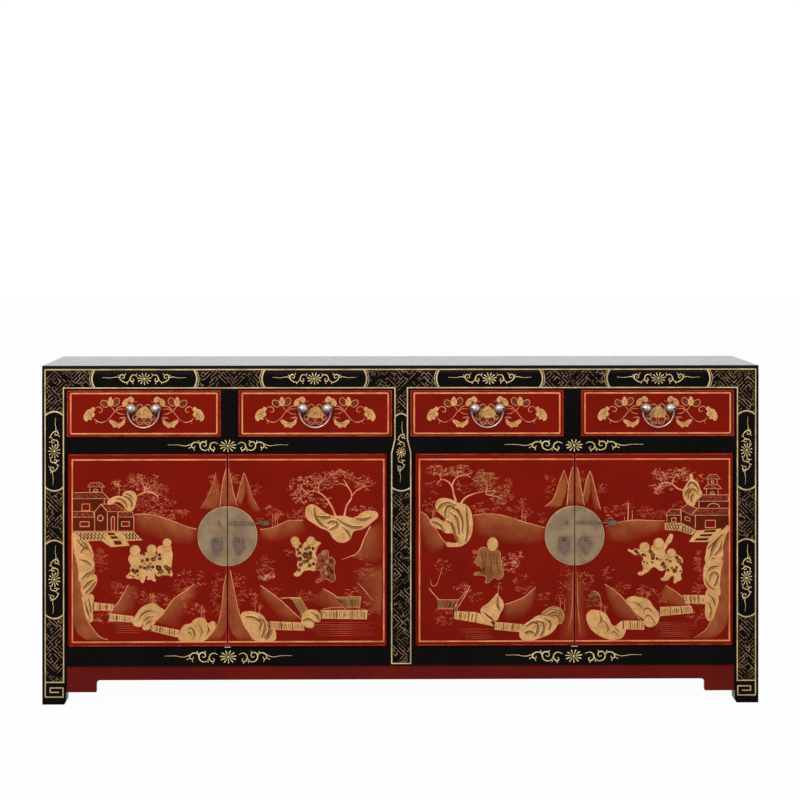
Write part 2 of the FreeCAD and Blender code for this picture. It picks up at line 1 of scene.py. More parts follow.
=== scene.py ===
import json
import math
import random

import bpy
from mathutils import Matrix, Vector


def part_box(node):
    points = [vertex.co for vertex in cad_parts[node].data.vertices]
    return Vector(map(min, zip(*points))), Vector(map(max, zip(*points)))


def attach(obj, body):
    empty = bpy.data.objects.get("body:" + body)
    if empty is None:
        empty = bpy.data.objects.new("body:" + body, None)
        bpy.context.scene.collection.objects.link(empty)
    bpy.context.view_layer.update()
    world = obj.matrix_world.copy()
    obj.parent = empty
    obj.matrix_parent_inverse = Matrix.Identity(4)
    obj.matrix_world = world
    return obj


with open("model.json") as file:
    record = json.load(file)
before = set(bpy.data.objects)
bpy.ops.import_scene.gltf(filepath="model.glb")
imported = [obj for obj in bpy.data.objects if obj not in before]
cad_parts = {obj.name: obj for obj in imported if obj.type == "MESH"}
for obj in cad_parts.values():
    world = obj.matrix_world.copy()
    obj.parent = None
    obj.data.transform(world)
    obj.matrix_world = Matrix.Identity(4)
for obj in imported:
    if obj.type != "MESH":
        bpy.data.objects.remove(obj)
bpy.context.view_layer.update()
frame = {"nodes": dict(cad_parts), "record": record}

# Lengths in the drawings are millimetres in the cabinet's own frame: x to the right, z up.
METRE = 1000
FACE = -186.0
NUMBERS = (1, 2, 3, 4)


# Colours and finishes

COLOUR, VECTOR, NUMBER = "NodeSocketColor", "NodeSocketVector", "NodeSocketFloat"
SURFACE_INPUTS = {"Ground": COLOUR, "Tone": COLOUR, "Fleck": COLOUR, "Stretch": VECTOR, "Scale": NUMBER,
                  "Fleck Scale": NUMBER, "Fleck Start": NUMBER, "Rough Low": NUMBER, "Rough High": NUMBER}
SURFACE_OUTPUTS = {"Colour": COLOUR, "Roughness": NUMBER, "Height": NUMBER}
CLOUD_LIMITS = (0.36, 0.66)
GRAIN_LIMITS = (0.3, 0.7)
GRAIN_FINENESS = 11.0
CLOUD_DETAIL, GRAIN_DETAIL, SPECK_DETAIL = 5.0, 3.0, 2.0
SPECK_ROUGHNESS = 0.5
FLECK_EDGE = 0.08
FLECK_HEIGHT = 0.5
RELIEF_DEPTH = 0.0004
SATIN = (0.35, 0.55)
# Heights of the normal over which the pale metal turns from painted shade underneath to its own bright
# colour, and over which the top takes its polish
SHADED_UNDERSIDE, POLISHED_SIDE = (-0.55, 0.45), (0.6, 0.95)
POLISH, POLISH_ROUGHNESS = 0.29, 0.12
WASH_SPECULAR = 0.04
finishes = {}


def srgb(red, green, blue):
    """A colour as it is read on a screen, in the linear values that shaders use."""
    def linear(value):
        share = value / 255
        return share / 12.92 if share <= 0.04045 else ((share + 0.055) / 1.055) ** 2.4
    return (linear(red), linear(green), linear(blue), 1.0)


def feed(tree, socket, value):
    """Sets a socket to a plain value, or links another node's output to it."""
    if isinstance(value, bpy.types.NodeSocket):
        tree.links.new(value, socket)
    else:
        socket.default_value = value


def noise(tree, vector, scale, detail, rough=0.6):
    node = tree.nodes.new("ShaderNodeTexNoise")
    for label, value in (("Vector", vector), ("Scale", scale), ("Detail", detail), ("Roughness", rough)):
        feed(tree, node.inputs[label], value)
    return node.outputs["Fac"]


def spread(tree, value, low, high, to_low=0.0, to_high=1.0):
    """A value between two limits, stretched smoothly to two others."""
    node = tree.nodes.new("ShaderNodeMapRange")
    node.interpolation_type = "SMOOTHSTEP"
    limits = (("From Min", low), ("From Max", high), ("To Min", to_low), ("To Max", to_high))
    for label, number in (("Value", value), *limits):
        feed(tree, node.inputs[label], number)
    return node.outputs["Result"]


def calc(tree, operation, first, second):
    node = tree.nodes.new("ShaderNodeMath")
    node.operation = operation
    for socket, value in zip(node.inputs, (first, second)):
        feed(tree, socket, value)
    return node.outputs["Value"]


def blend_colour(tree, share, first, second):
    node = tree.nodes.new("ShaderNodeMix")
    node.data_type = "RGBA"
    colours = {item.name: item for item in node.inputs if item.type == "RGBA"}
    feed(tree, node.inputs["Factor"], share)
    feed(tree, colours["A"], first)
    feed(tree, colours["B"], second)
    return next(item for item in node.outputs if item.type == "RGBA")


def make_aged_surface():
    """Cloudy tone, fine grain and flecks, in one group that every finish uses with its own values."""
    group = bpy.data.node_groups.new("aged_surface", "ShaderNodeTree")
    for in_out, sockets in (("INPUT", SURFACE_INPUTS), ("OUTPUT", SURFACE_OUTPUTS)):
        for label, kind in sockets.items():
            group.interface.new_socket(name=label, in_out=in_out, socket_type=kind)
    given = group.nodes.new("NodeGroupInput").outputs
    out = group.nodes.new("NodeGroupOutput").inputs
    stretched = group.nodes.new("ShaderNodeVectorMath")
    stretched.operation = "MULTIPLY"
    feed(group, stretched.inputs[0], group.nodes.new("ShaderNodeTexCoord").outputs["Object"])
    feed(group, stretched.inputs[1], given["Stretch"])
    place = stretched.outputs["Vector"]
    cloud = spread(group, noise(group, place, given["Scale"], CLOUD_DETAIL), *CLOUD_LIMITS)
    fine_scale = calc(group, "MULTIPLY", given["Scale"], GRAIN_FINENESS)
    grain = noise(group, place, fine_scale, GRAIN_DETAIL)
    speck = noise(group, place, given["Fleck Scale"], SPECK_DETAIL, SPECK_ROUGHNESS)
    fleck_full = calc(group, "ADD", given["Fleck Start"], FLECK_EDGE)
    fleck = spread(group, speck, given["Fleck Start"], fleck_full)
    toned = blend_colour(group, cloud, given["Ground"], given["Tone"])
    rough = spread(group, grain, *GRAIN_LIMITS, given["Rough Low"], given["Rough High"])
    raised = calc(group, "MULTIPLY", fleck, FLECK_HEIGHT)
    feed(group, out["Colour"], blend_colour(group, fleck, toned, given["Fleck"]))
    feed(group, out["Roughness"], rough)
    feed(group, out["Height"], calc(group, "ADD", grain, raised))
    return group


aged_surface = make_aged_surface()


def place_surface(tree, ground, tone, fleck, scale, roughs,
                  stretch=(1, 1, 1), fleck_scale=260.0, fleck_start=0.64):
    """The aged surface with its own colours and values; its outputs are returned."""
    node = tree.nodes.new("ShaderNodeGroup")
    node.node_tree = aged_surface
    colours = (srgb(*ground), srgb(*tone), srgb(*fleck))
    values = (*colours, stretch, scale, fleck_scale, fleck_start, *roughs)
    for label, value in zip(SURFACE_INPUTS, values):
        node.inputs[label].default_value = value
    return node.outputs


def new_material(name):
    """A material, kept among the finishes under its name, with its node tree and its shader's inputs."""
    material = bpy.data.materials.new(name)
    material.use_nodes = True
    finishes[name] = material
    tree = material.node_tree
    return material, tree, tree.nodes["Principled BSDF"].inputs


def make_finish(name, ground, tone, fleck, scale, roughs=(0.4, 0.6), metallic=0.0, specular=0.1, bump=0.1,
                **pattern):
    material, tree, shader = new_material(name)
    surface = place_surface(tree, ground, tone, fleck, scale, roughs, **pattern)
    relief = tree.nodes.new("ShaderNodeBump")
    feed(tree, relief.inputs["Strength"], bump)
    feed(tree, relief.inputs["Distance"], RELIEF_DEPTH)
    feed(tree, relief.inputs["Height"], surface["Height"])
    feed(tree, shader["Base Color"], surface["Colour"])
    feed(tree, shader["Roughness"], surface["Roughness"])
    feed(tree, shader["Normal"], relief.outputs["Normal"])
    feed(tree, shader["Metallic"], metallic)
    feed(tree, shader["Specular IOR Level"], specular)
    return material


# Finishes of the cabinet's own pieces

RED = ((124, 18, 4), (113, 16, 4), (96, 14, 4))
make_finish("black_lacquer", (7, 6, 5), (11, 9, 8), (24, 19, 16), 9.0, (0.2, 0.34), specular=0.035,
            fleck_scale=420.0, fleck_start=0.7)
make_finish("red_lacquer", *RED, 7.0, (0.22, 0.36), specular=0.04, fleck_scale=330.0, fleck_start=0.7)
# A darker, browner copy of the red lacquer for the apron, low down and set back: painted shade
make_finish("shaded_red_lacquer", (103, 21, 14), (93, 18, 14), (66, 15, 11), 8.0, (0.28, 0.46), specular=0.05,
            fleck_start=0.68)
for name, stretch, colours in (
    ("bare_wood", (1, 0.045, 1), ((176, 136, 92), (146, 104, 64), (104, 70, 42))),
    ("long_wood", (0.045, 1, 1), ((150, 110, 72), (122, 84, 52), (86, 56, 34))),
):
    make_finish(name, *colours, 34.0, (0.5, 0.75), specular=0.2, bump=0.3, stretch=stretch, fleck_scale=300.0,
                fleck_start=0.66)
make_finish("aged_brass", (150, 125, 96), (130, 104, 78), (98, 76, 56), 26.0, (0.34, 0.5), metallic=0.45,
            specular=0.35, bump=0.2, fleck_scale=520.0)
make_finish("drop_metal", (118, 97, 84), (100, 80, 70), (78, 60, 52), 60.0, (0.3, 0.45), metallic=0.5,
            specular=0.35, fleck_scale=700.0, fleck_start=0.66)
make_finish("bright_metal", (222, 216, 208), (200, 192, 184), (160, 150, 142), 90.0, (0.25, 0.4),
            metallic=0.3, specular=0.4)


def facing_up(tree, low, high):
    """How far a surface faces up, from none to full."""
    parts = tree.nodes.new("ShaderNodeSeparateXYZ")
    feed(tree, parts.inputs["Vector"], tree.nodes.new("ShaderNodeNewGeometry").outputs["Normal"])
    return spread(tree, parts.outputs["Z"], low, high)


def make_pale_metal():
    """Pale worn metal with painted shade: dark brown on faces that turn down, its own pale colour on faces
    that turn up.
    """
    material = make_finish("pale_metal", (206, 192, 184), (182, 166, 156), (130, 112, 102), 90.0, (0.2, 0.36),
                           metallic=0.7, specular=0.4, bump=0.15, fleck_scale=700.0, fleck_start=0.66)
    tree = material.node_tree
    base = tree.nodes["Principled BSDF"].inputs["Base Color"]
    bright = base.links[0].from_socket
    # Dark brown of the painted shade on the downward faces
    dark = place_surface(tree, (84, 58, 48), (64, 42, 34), (110, 84, 70), 90.0, (0.3, 0.5))
    lit_share = facing_up(tree, *SHADED_UNDERSIDE)
    feed(tree, base, blend_colour(tree, lit_share, dark["Colour"], bright))


def make_top_lacquer():
    """Black lacquer whose upper face alone keeps its polish."""
    material = make_finish("top_lacquer", (20, 16, 18), (26, 20, 23), (40, 31, 34), 5.0, (0.14, 0.24),
                           specular=0.05, bump=0.0, fleck_scale=300.0, fleck_start=0.7)
    tree = material.node_tree
    shader = tree.nodes["Principled BSDF"].inputs
    upper = facing_up(tree, *POLISHED_SIDE)
    feed(tree, shader["Coat Weight"], calc(tree, "MULTIPLY", upper, POLISH))
    feed(tree, shader["Coat Roughness"], POLISH_ROUGHNESS)


make_pale_metal()
make_top_lacquer()


# Paints of the ornament

GOLD = make_finish("gold_paint", (214, 164, 104), (192, 140, 82), (150, 100, 52), 46.0, metallic=0.1,
                   specular=0.2, bump=0.35, fleck_scale=380.0, fleck_start=0.6)
SHADE = make_finish("gold_shade", (166, 116, 62), (146, 96, 48), (112, 68, 32), 46.0, specular=0.15,
                    fleck_scale=380.0, fleck_start=0.6)
BORDER_GOLD = make_finish("border_gold", (226, 152, 96), (196, 112, 66), (170, 84, 48), 22.0, SATIN,
                          metallic=0.1, specular=0.2, fleck_scale=300.0, fleck_start=0.62)
FRAME_GOLD = make_finish("frame_gold", (214, 190, 140), (178, 150, 106), (120, 96, 62), 26.0, SATIN,
                         metallic=0.1, specular=0.2, fleck_scale=320.0)
FRET_GOLD = make_finish("fret_gold", (176, 138, 100), (94, 66, 46), (38, 27, 20), 22.0, specular=0.15,
                        fleck_scale=200.0, fleck_start=0.6)
SCROLL_GOLD = make_finish("scroll_gold", (238, 214, 156), (206, 174, 116), (150, 116, 70), 50.0, SATIN,
                          metallic=0.1, specular=0.2, fleck_scale=400.0, fleck_start=0.66)
ROSE = make_finish("rose_gold", (228, 154, 110), (202, 116, 76), (160, 72, 46), 36.0, specular=0.15,
                   fleck_scale=300.0)
LEAF = make_finish("leaf_rose", (204, 112, 76), (172, 76, 46), (140, 50, 28), 24.0, specular=0.12,
                   fleck_scale=240.0, fleck_start=0.62)
PALE = make_finish("pale_gold", (238, 204, 146), (220, 180, 120), (190, 146, 90), 46.0, specular=0.2,
                   fleck_scale=380.0, fleck_start=0.62)
PETAL = make_finish("petal_brown", (112, 48, 24), (94, 36, 18), (132, 66, 34), 40.0)
FADED = make_finish("faded_rose", (142, 74, 46), (124, 50, 30), (104, 38, 22), 60.0, specular=0.12,
                    fleck_start=0.56)
# Pale patchy red along the edges of doors and drawers: a painted highlight of the rounded edge, patchy like
# wear
WEAR_AND_HIGHLIGHT_RED = make_finish("worn_red", (160, 66, 52), (118, 20, 8), (176, 92, 76), 30.0, (0.3, 0.5))
CREASE = make_finish("crease_brown", (112, 66, 30), (92, 50, 22), (130, 84, 44), 40.0)
BLOT = make_finish("blossom_brown", (88, 44, 18), (72, 34, 14), (110, 62, 30), 40.0, specular=0.05)
INK = make_finish("ink_brown", (52, 24, 12), (40, 16, 9), (84, 46, 24), 40.0)
WALL = make_finish("wall_brown", (92, 28, 6), (78, 22, 5), (106, 38, 12), 30.0, (0.35, 0.5), specular=0.05)
ROOF = make_finish("roof_brown", (104, 26, 8), (90, 20, 6), (150, 66, 36), 60.0, fleck_scale=420.0,
                   fleck_start=0.54)
OCHRE = make_finish("ochre_paint", (150, 96, 50), (124, 70, 34), (98, 50, 26), 40.0, specular=0.12,
                    fleck_scale=360.0, fleck_start=0.58)


def make_brown_wash():
    """Red lacquer with brown brushed over it, as strong as the piece's own wash attribute says."""
    material, tree, shader = new_material("brown_wash")
    red = place_surface(tree, *RED, 7.0, (0.24, 0.4), fleck_scale=330.0, fleck_start=0.68)
    brown = place_surface(tree, (160, 92, 52), (142, 74, 40), (116, 52, 28), 26.0, (0.3, 0.5),
                          fleck_scale=300.0, fleck_start=0.62)
    share = tree.nodes.new("ShaderNodeAttribute")
    share.attribute_name = "wash"
    colour = blend_colour(tree, share.outputs["Fac"], red["Colour"], brown["Colour"])
    feed(tree, shader["Base Color"], colour)
    feed(tree, shader["Roughness"], red["Roughness"])
    feed(tree, shader["Specular IOR Level"], WASH_SPECULAR)
    return material


WASH = make_brown_wash()


# Drawing with the brush: strokes and filled shapes, each turned to a thin raised mesh on its face

TAPERS = {
    None: lambda share: 1.0,
    "both": lambda share: math.sin(math.pi * (0.12 + 0.76 * share)),
    "end": lambda share: 1.0 - 0.7 * share,
    "start": lambda share: 0.3 + 0.7 * share,
    "drop": lambda share: (0.22, 1.0, 0.7)[round(2 * share)],
}
BRUSH_RADIUS = 0.0005
LINE_STEPS, SHAPE_STEPS = 4, 5
SHAPE_DEPTH, SHAPE_EDGE = 0.00009, 0.00008
SMOOTH_ANGLE = 50
RAISED = 0.45
PRESSED = 0.15
# Levels of the paint above the face, in millimetres
LEAF_LEVEL, OUTLINE_LEVEL, LINE_LEVEL, DETAIL_LEVEL = 0.05, 0.1, 0.12, 0.2
CREASE_LEVEL, TOP_LEVEL, SLAT_LEVEL, HEART_LEVEL = 0.22, 0.24, 0.28, 0.3
VEIN_LEVEL = 0.35
WASH_COLUMNS, WASH_ROWS = 22, 10
WASH_LEVEL = 0.05
WASH_FADE = 0.95
SIDE_FADE, SIDE_START = 6.0, 0.25
TINY = 1e-9


def between(start, stop, share):
    """The point at a share of the way from one point to another."""
    return tuple(a + (b - a) * share for a, b in zip(start, stop))


def middle_of(points):
    return tuple(sum(values) / len(points) for values in zip(*points))


class Stroke:
    """A line of the brush, with its full width at each point; it may thin towards its ends."""

    def __init__(self, points, width, smooth=True, closed=False, taper=None):
        last = max(1, len(points) - 1)
        self.points = points
        self.smooth = smooth and len(points) > 2
        self.closed = closed
        self.widths = [width * TAPERS[taper](k / last) for k in range(len(points))]


def start_curve(name, fill, bevel, resolution):
    bpy.ops.object.select_all(action="DESELECT")
    bpy.ops.curve.primitive_bezier_curve_add(location=(0, 0, 0))
    piece = bpy.context.object
    piece.name = name
    curve = piece.data
    curve.splines.clear()
    curve.dimensions = "2D"
    curve.fill_mode = fill
    curve.bevel_depth = bevel
    curve.bevel_resolution = 0
    curve.resolution_u = resolution
    return curve


def add_spline(curve, points, widths, smooth, closed):
    spline = curve.splines.new("BEZIER" if smooth else "POLY")
    knots = spline.bezier_points if smooth else spline.points
    knots.add(len(points) - 1)
    for knot, (x, z), width in zip(knots, points, widths):
        place = (x / METRE, z / METRE, 0)
        knot.co = place if smooth else (*place, 1)
        knot.radius = width
        if smooth:
            knot.handle_left_type = "AUTO"
            knot.handle_right_type = "AUTO"
    spline.use_cyclic_u = closed


def settle(body, paint, level, flatten):
    """Turns the drawn curve into a mesh, stands it upright on its face and hangs it on a body."""
    bpy.ops.object.convert(target="MESH")
    piece = bpy.context.object
    piece.scale = (1, 1, flatten)
    piece.rotation_euler = (math.radians(90), 0, 0)
    piece.location = (0, (FACE - level) / METRE, 0)
    bpy.ops.object.transform_apply(location=True, rotation=True, scale=True)
    bpy.ops.object.shade_smooth_by_angle(angle=math.radians(SMOOTH_ANGLE))
    piece.data.materials.clear()
    piece.data.materials.append(paint)
    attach(piece, body)
    return piece


def paint_lines(name, body, strokes, paint, level=0.0, flatten=RAISED):
    curve = start_curve(name, "NONE", BRUSH_RADIUS, LINE_STEPS)
    curve.use_fill_caps = True
    for stroke in strokes:
        add_spline(curve, stroke.points, stroke.widths, stroke.smooth, stroke.closed)
    settle(body, paint, level, flatten)


def paint_shapes(name, body, outlines, paint, level=OUTLINE_LEVEL, smooth=True):
    """Filled shapes; an outline inside another leaves a hole."""
    curve = start_curve(name, "BOTH", SHAPE_EDGE, SHAPE_STEPS)
    curve.extrude = SHAPE_DEPTH
    for outline in outlines:
        add_spline(curve, outline, [1.0] * len(outline), smooth, True)
    return settle(body, paint, level, 1.0)


def join(pieces):
    """Makes one piece of several, under the name of the first."""
    bpy.ops.object.select_all(action="DESELECT")
    for piece in pieces:
        piece.select_set(True)
    bpy.context.view_layer.objects.active = pieces[0]
    if len(pieces) > 1:
        bpy.ops.object.join()
    return bpy.context.object


def along(points, count):
    """Points at even steps along a line of points."""
    steps = [0.0]
    for start, stop in zip(points, points[1:]):
        steps.append(steps[-1] + math.dist(start, stop))
    found = []
    for i in range(count):
        target = steps[-1] * i / (count - 1)
        k = max(j for j in range(len(points) - 1) if steps[j] <= target + TINY)
        share = (target - steps[k]) / max(TINY, steps[k + 1] - steps[k])
        found.append(between(points[k], points[k + 1], share))
    return found


def wash_grid(edge, end, strength, kept):
    """Brown brushed from its strong edge to the edge where it ends, a share of it kept there."""
    bpy.ops.object.select_all(action="DESELECT")
    last_column = WASH_COLUMNS - 1
    bpy.ops.mesh.primitive_grid_add(x_subdivisions=last_column, y_subdivisions=WASH_ROWS - 1, size=1)
    piece = bpy.context.object
    mesh = piece.data
    strong, weak = along(edge, WASH_COLUMNS), along(end, WASH_COLUMNS)
    shares = mesh.attributes.new("wash", "FLOAT", "POINT")
    for vertex in mesh.vertices:
        i = round((vertex.co.x + 0.5) * last_column)
        j = vertex.co.y + 0.5
        x, z = between(strong[i], weak[i], j)
        sides = min(1.0, SIDE_FADE * min(i, last_column - i) / last_column + SIDE_START)
        fade = kept + (1 - kept) * (1 - j) ** WASH_FADE
        shares.data[vertex.index].value = min(1.0, strength * fade) * sides
        vertex.co = (x / METRE, (FACE - WASH_LEVEL) / METRE, z / METRE)
    bpy.ops.object.mode_set(mode="EDIT")
    bpy.ops.mesh.select_all(action="SELECT")
    bpy.ops.mesh.normals_make_consistent(inside=False)
    bpy.ops.object.mode_set(mode="OBJECT")
    if mesh.polygons[0].normal.y > 0:
        bpy.ops.object.mode_set(mode="EDIT")
        bpy.ops.mesh.flip_normals()
        bpy.ops.object.mode_set(mode="OBJECT")
    return piece


def paint_washes(name, body, washes):
    piece = join([wash_grid(*wash) for wash in washes])
    piece.name = name
    piece.data.materials.append(WASH)
    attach(piece, body)


# The black frame: gold lines, fret, cartouches and scrolls

LEG_OUT, LEG_IN = 892.5, 846.5
LEG_MIDDLE, LEG_HALF = (LEG_OUT + LEG_IN) / 2, (LEG_OUT - LEG_IN) / 2
TOP_LINE, RAIL_LINE = 840.0, 794.0
RAIL_MIDDLE, RAIL_HALF = (TOP_LINE + RAIL_LINE) / 2, (TOP_LINE - RAIL_LINE) / 2
STILE_IN, STILE_OUT = 15.7, 23.9
STILE_SLOPE_LOW, STILE_SLOPE_HIGH = 630.0, 664.0
STILE_END = 101.0
FOOT_LINE, FOOT_END = 56.0, 19.0
KEY_IN = LEG_IN + 1.5
FOOT_KEY = [(LEG_OUT, FOOT_END), (KEY_IN, FOOT_END), (KEY_IN, 42), (880, 42), (880, 31), (858, 31)]
TOP_CARTOUCHES = [(-768.0, -520.0), (-342.0, -94.0), (96.0, 348.0), (525.0, 770.0)]
LEG_CARTOUCHES = [(226.0, 402.0), (546.0, 725.0)]
STILE_CARTOUCHE = (543.0, 721.0)
LEG_BULGE, RAIL_BULGE, STILE_BULGE = 10.0, 7.4, 8.0
FRAME_LINE = 2.9
RAIL_ARC, RAIL_THIN_ARC, LEG_ARC, STILE_ARC = 3.8, 1.3, 3.6, 3.4
THIN_ARC_GAP = 5.5
ARC_STEPS = 8
FRET_INSET = 2.6
FRET_RAIL_GAP, FRET_LEG_GAP = 6.5, 3.5
FRET_PITCH = 7.4
FRET_LENGTHS = (11, 15, 22, 30, 38)
FRET_GAP = 4.4
FRET_REACH, FRET_ROWS = 1310.0, 178
FRET_LEFT_OUT, FRET_HOOKED = 0.14, 0.45
FRET_WIDTHS, HOOK_WIDTH = (0.95, 1.4), 1.1
HOOK_SHARE = 0.98
FIELD_SIDE, FIELD_TOP = 930, 880
FRET_BLOCK, FRET_LEAN = (37, 41), (240, 310)
FRET_SEED, FRET_START = 7, 20
CLIP_STEP, SHORTEST_RUN = 0.9, 4


def stile_edge(z):
    """How far the gold line beside the stile stands from its middle at a height."""
    share = (z - STILE_SLOPE_LOW) / (STILE_SLOPE_HIGH - STILE_SLOPE_LOW)
    return STILE_OUT + (STILE_IN - STILE_OUT) * min(1.0, max(0.0, share))


def bulge(position, half, depth):
    """How far an arc end of a cartouche stands out, at a place across its width."""
    return depth * (1 - min(1.0, abs(position) / half) ** 2)


def outside(place, spans, margin):
    return not any(low - margin < place < high + margin for low, high in spans)


def in_fret(x, z):
    """Whether a point of the frame's face carries fret."""
    if RAIL_LINE + FRET_INSET < z < TOP_LINE - FRET_INSET and abs(x) < LEG_OUT - FRET_INSET:
        return outside(x, TOP_CARTOUCHES, bulge(z - RAIL_MIDDLE, RAIL_HALF, RAIL_BULGE) + FRET_RAIL_GAP)
    if LEG_IN + FRET_INSET < abs(x) < LEG_OUT - FRET_INSET and FOOT_LINE + FRET_INSET < z < TOP_LINE:
        return outside(z, LEG_CARTOUCHES, bulge(abs(x) - LEG_MIDDLE, LEG_HALF, LEG_BULGE) + FRET_LEG_GAP)
    if abs(x) < stile_edge(z) - FRET_INSET and STILE_END + FRET_INSET < z < TOP_LINE:
        return outside(z, [STILE_CARTOUCHE], bulge(x, stile_edge(z), STILE_BULGE) + FRET_LEG_GAP)
    return False


def fret_way(x, z):
    """Which way the fret slants in a block of the frame; the blocks themselves lean a little."""
    column = math.floor(x / FRET_BLOCK[0] + z / FRET_LEAN[0])
    row = math.floor(z / FRET_BLOCK[1] + x / FRET_LEAN[1])
    return (column + row) % 2


def clip_run(start, stop, way):
    """The stretches of a straight line that lie in the fret's field, in the blocks that slant its way."""
    count = max(2, round(math.dist(start, stop) / CLIP_STEP))
    places = [between(start, stop, i / count) for i in range(count + 1)]
    if not any(in_fret(*places[i]) for i in (0, count // 2, count)):
        return []
    runs, run = [], []
    for place in places + [None]:
        if place is not None and in_fret(*place) and fret_way(*place) == way:
            run.append(place)
            continue
        if len(run) >= SHORTEST_RUN:
            runs.append((run[0], run[-1]))
        run = []
    return runs


def fret_strokes():
    """Slanting key fret by a free hand: parallel bars, many with hooks, in blocks that change their slant."""
    hand = random.Random(FRET_SEED)
    root = math.sqrt(0.5)
    strokes = []
    for way, along_bar, across in ((0, (root, root), (-root, root)), (1, (root, -root), (root, root))):
        for row in range(-FRET_ROWS, FRET_ROWS):
            place = -FRET_REACH + hand.uniform(0, FRET_START)
            while place < FRET_REACH:
                length = hand.choice(FRET_LENGTHS)
                start, stop = (tuple(a * reach + c * row * FRET_PITCH for a, c in zip(along_bar, across))
                               for reach in (place, place + length))
                place += length + FRET_GAP
                left_out = hand.random() < FRET_LEFT_OUT
                if left_out or abs(start[0]) > FIELD_SIDE or not 0 < start[1] < FIELD_TOP:
                    continue
                for run in clip_run(start, stop, way):
                    strokes.append(Stroke(run, hand.uniform(*FRET_WIDTHS)))
                    for end in run:
                        if hand.random() < FRET_HOOKED:
                            turn = hand.choice((-1, 1)) * FRET_PITCH * HOOK_SHARE
                            hook = tuple(e + c * turn for e, c in zip(end, across))
                            if in_fret(*hook):
                                strokes.append(Stroke([end, hook], HOOK_WIDTH))
    return strokes


def turned(points, centre, along_z=False, scale=(1.0, 1.0)):
    """A motif's points set at a centre, lying along x or standing along z."""
    placed = []
    for x, z in points:
        x, z = x * scale[0], z * scale[1]
        placed.append((centre[0] + z, centre[1] + x) if along_z else (centre[0] + x, centre[1] + z))
    return placed


# Scroll motifs to the right of a flower, in millimetres from its centre
SHORT_SCROLL = [
    [(19, 5), (24, 9), (31, 9.5), (37, 3), (36, -5), (31, -7), (28, -2), (32, 1)],
    [(38, 1), (43, -7), (50, -9), (58, -6), (65, 1), (64, 8), (58, 10.5), (53, 6), (56, 1), (60, 4)],
    [(66, 3), (76, 4.5), (88, 2.5), (112, 3.5)],
]
SHORT_BUDS = [[(31, -8), (30, -13)], [(45, -9), (47, -13)], [(51, 9), (50, 14)], [(66, 6), (70, 9.5)],
              [(22, 9), (20, 13)]]
LONG_SCROLL = [
    [(25, 5), (32, 8.5), (39.5, 7.5), (44.8, -0.5), (42.3, -8), (36, -10.5), (32.8, -5.6), (36.5, -2.6)],
    [(44.8, -1.8), (51.2, -9.5), (60.2, -10.8), (68.5, -4), (67.9, 6.5), (59, 10.2), (53.8, 4.6), (57.6, -1),
     (62, 2)],
    [(69, -2), (71.5, 6), (79.4, 9.4), (89, 5), (90.4, -2.6), (84.5, -4.6), (82, 0.4)],
    [(88, 6), (97, 2), (106.3, 0), (124.3, 2.6), (151, 2.4)],
]
LONG_BUDS = [[(36, -11), (36, -15)], [(47, -8), (48, -13)], [(55, 9), (54, 13.5)], [(71, 7), (73.5, 13)],
             [(85, -5), (84, -11)], [(91, -2), (98, -6)]]
SHORT, LONG = (SHORT_SCROLL, SHORT_BUDS), (LONG_SCROLL, LONG_BUDS)
PETAL_COUNT, PETAL_TURN = 11, 0.3
PETAL_REACH = (0.26, 0.84, 1.0)
PETAL_WIDTH, BUD_WIDTH = 2.6, 2.3
HEART_RADIUS, HEART_ANGLES = 1.4, (0, 2.1, 4.2)
CURL_WIDTH, TAIL_WIDTH = 2.5, 2.0
# Radii of a flower, and scale of its scrolls
RAIL_ORNAMENT = ((18, 15), (0.94, 1.0))
LEG_ORNAMENT = ((18, 15), (0.76, 0.98))
STILE_ORNAMENT = ((13, 12), (0.68, 0.75))
# Above and below the doors: place beside the middle, height, radii of the flower, length of the scrolls,
# how much longer they are on the right and shorter on the left, and their scale in height
DOOR_RAIL_ORNAMENTS = (
    (435, 648.5, (21, 15.5), 1.08, 0.08, 1.0),
    (434, 118.5, (21, 16.5), 1.1, 0.04, 1.1),
)


def daisy(centre, radius, along_z, pen):
    """A round flower of separate petals."""
    strokes = []
    for k in range(PETAL_COUNT):
        angle = 2 * math.pi * (k + PETAL_TURN) / PETAL_COUNT
        tip = (math.cos(angle) * radius[0], math.sin(angle) * radius[1])
        petal = turned([(tip[0] * share, tip[1] * share) for share in PETAL_REACH], centre, along_z)
        strokes.append(Stroke(petal, PETAL_WIDTH * pen, smooth=False, taper="drop"))
    heart = [(math.cos(angle) * HEART_RADIUS, math.sin(angle) * HEART_RADIUS) for angle in HEART_ANGLES]
    strokes.append(Stroke(turned(heart, centre, along_z), PETAL_WIDTH, closed=True))
    return strokes


def scroll_ornament(centre, motif, radius, scale, along_z=False):
    """A flower with a curling stem to each side; where it stands upright, the second one is turned over."""
    scroll, buds = motif
    pen = (scale[0] + scale[1]) / 2
    strokes = daisy(centre, radius, along_z, pen)
    for flip, over in ((1, 1), (-1, -1 if along_z else 1)):
        place = (centre, along_z, (scale[0] * flip, scale[1] * over))
        for curl in scroll[:-1]:
            strokes.append(Stroke(turned(curl, *place), CURL_WIDTH * pen, taper="both"))
        strokes.append(Stroke(turned(scroll[-1], *place), TAIL_WIDTH * pen, taper="end"))
        for bud in buds:
            strokes.append(Stroke(turned(bud, *place), BUD_WIDTH * pen, taper="start"))
    return strokes


def arc_end(place, side, middle, half, depth, width, along_z=False):
    """One curved end of a cartouche, bowed out to a side across the width between its lines."""
    points = []
    for k in range(ARC_STEPS + 1):
        across = half * (2 * k / ARC_STEPS - 1)
        out = place + side * bulge(across, half, depth)
        points.append((middle + across, out) if along_z else (out, middle + across))
    return Stroke(points, width)


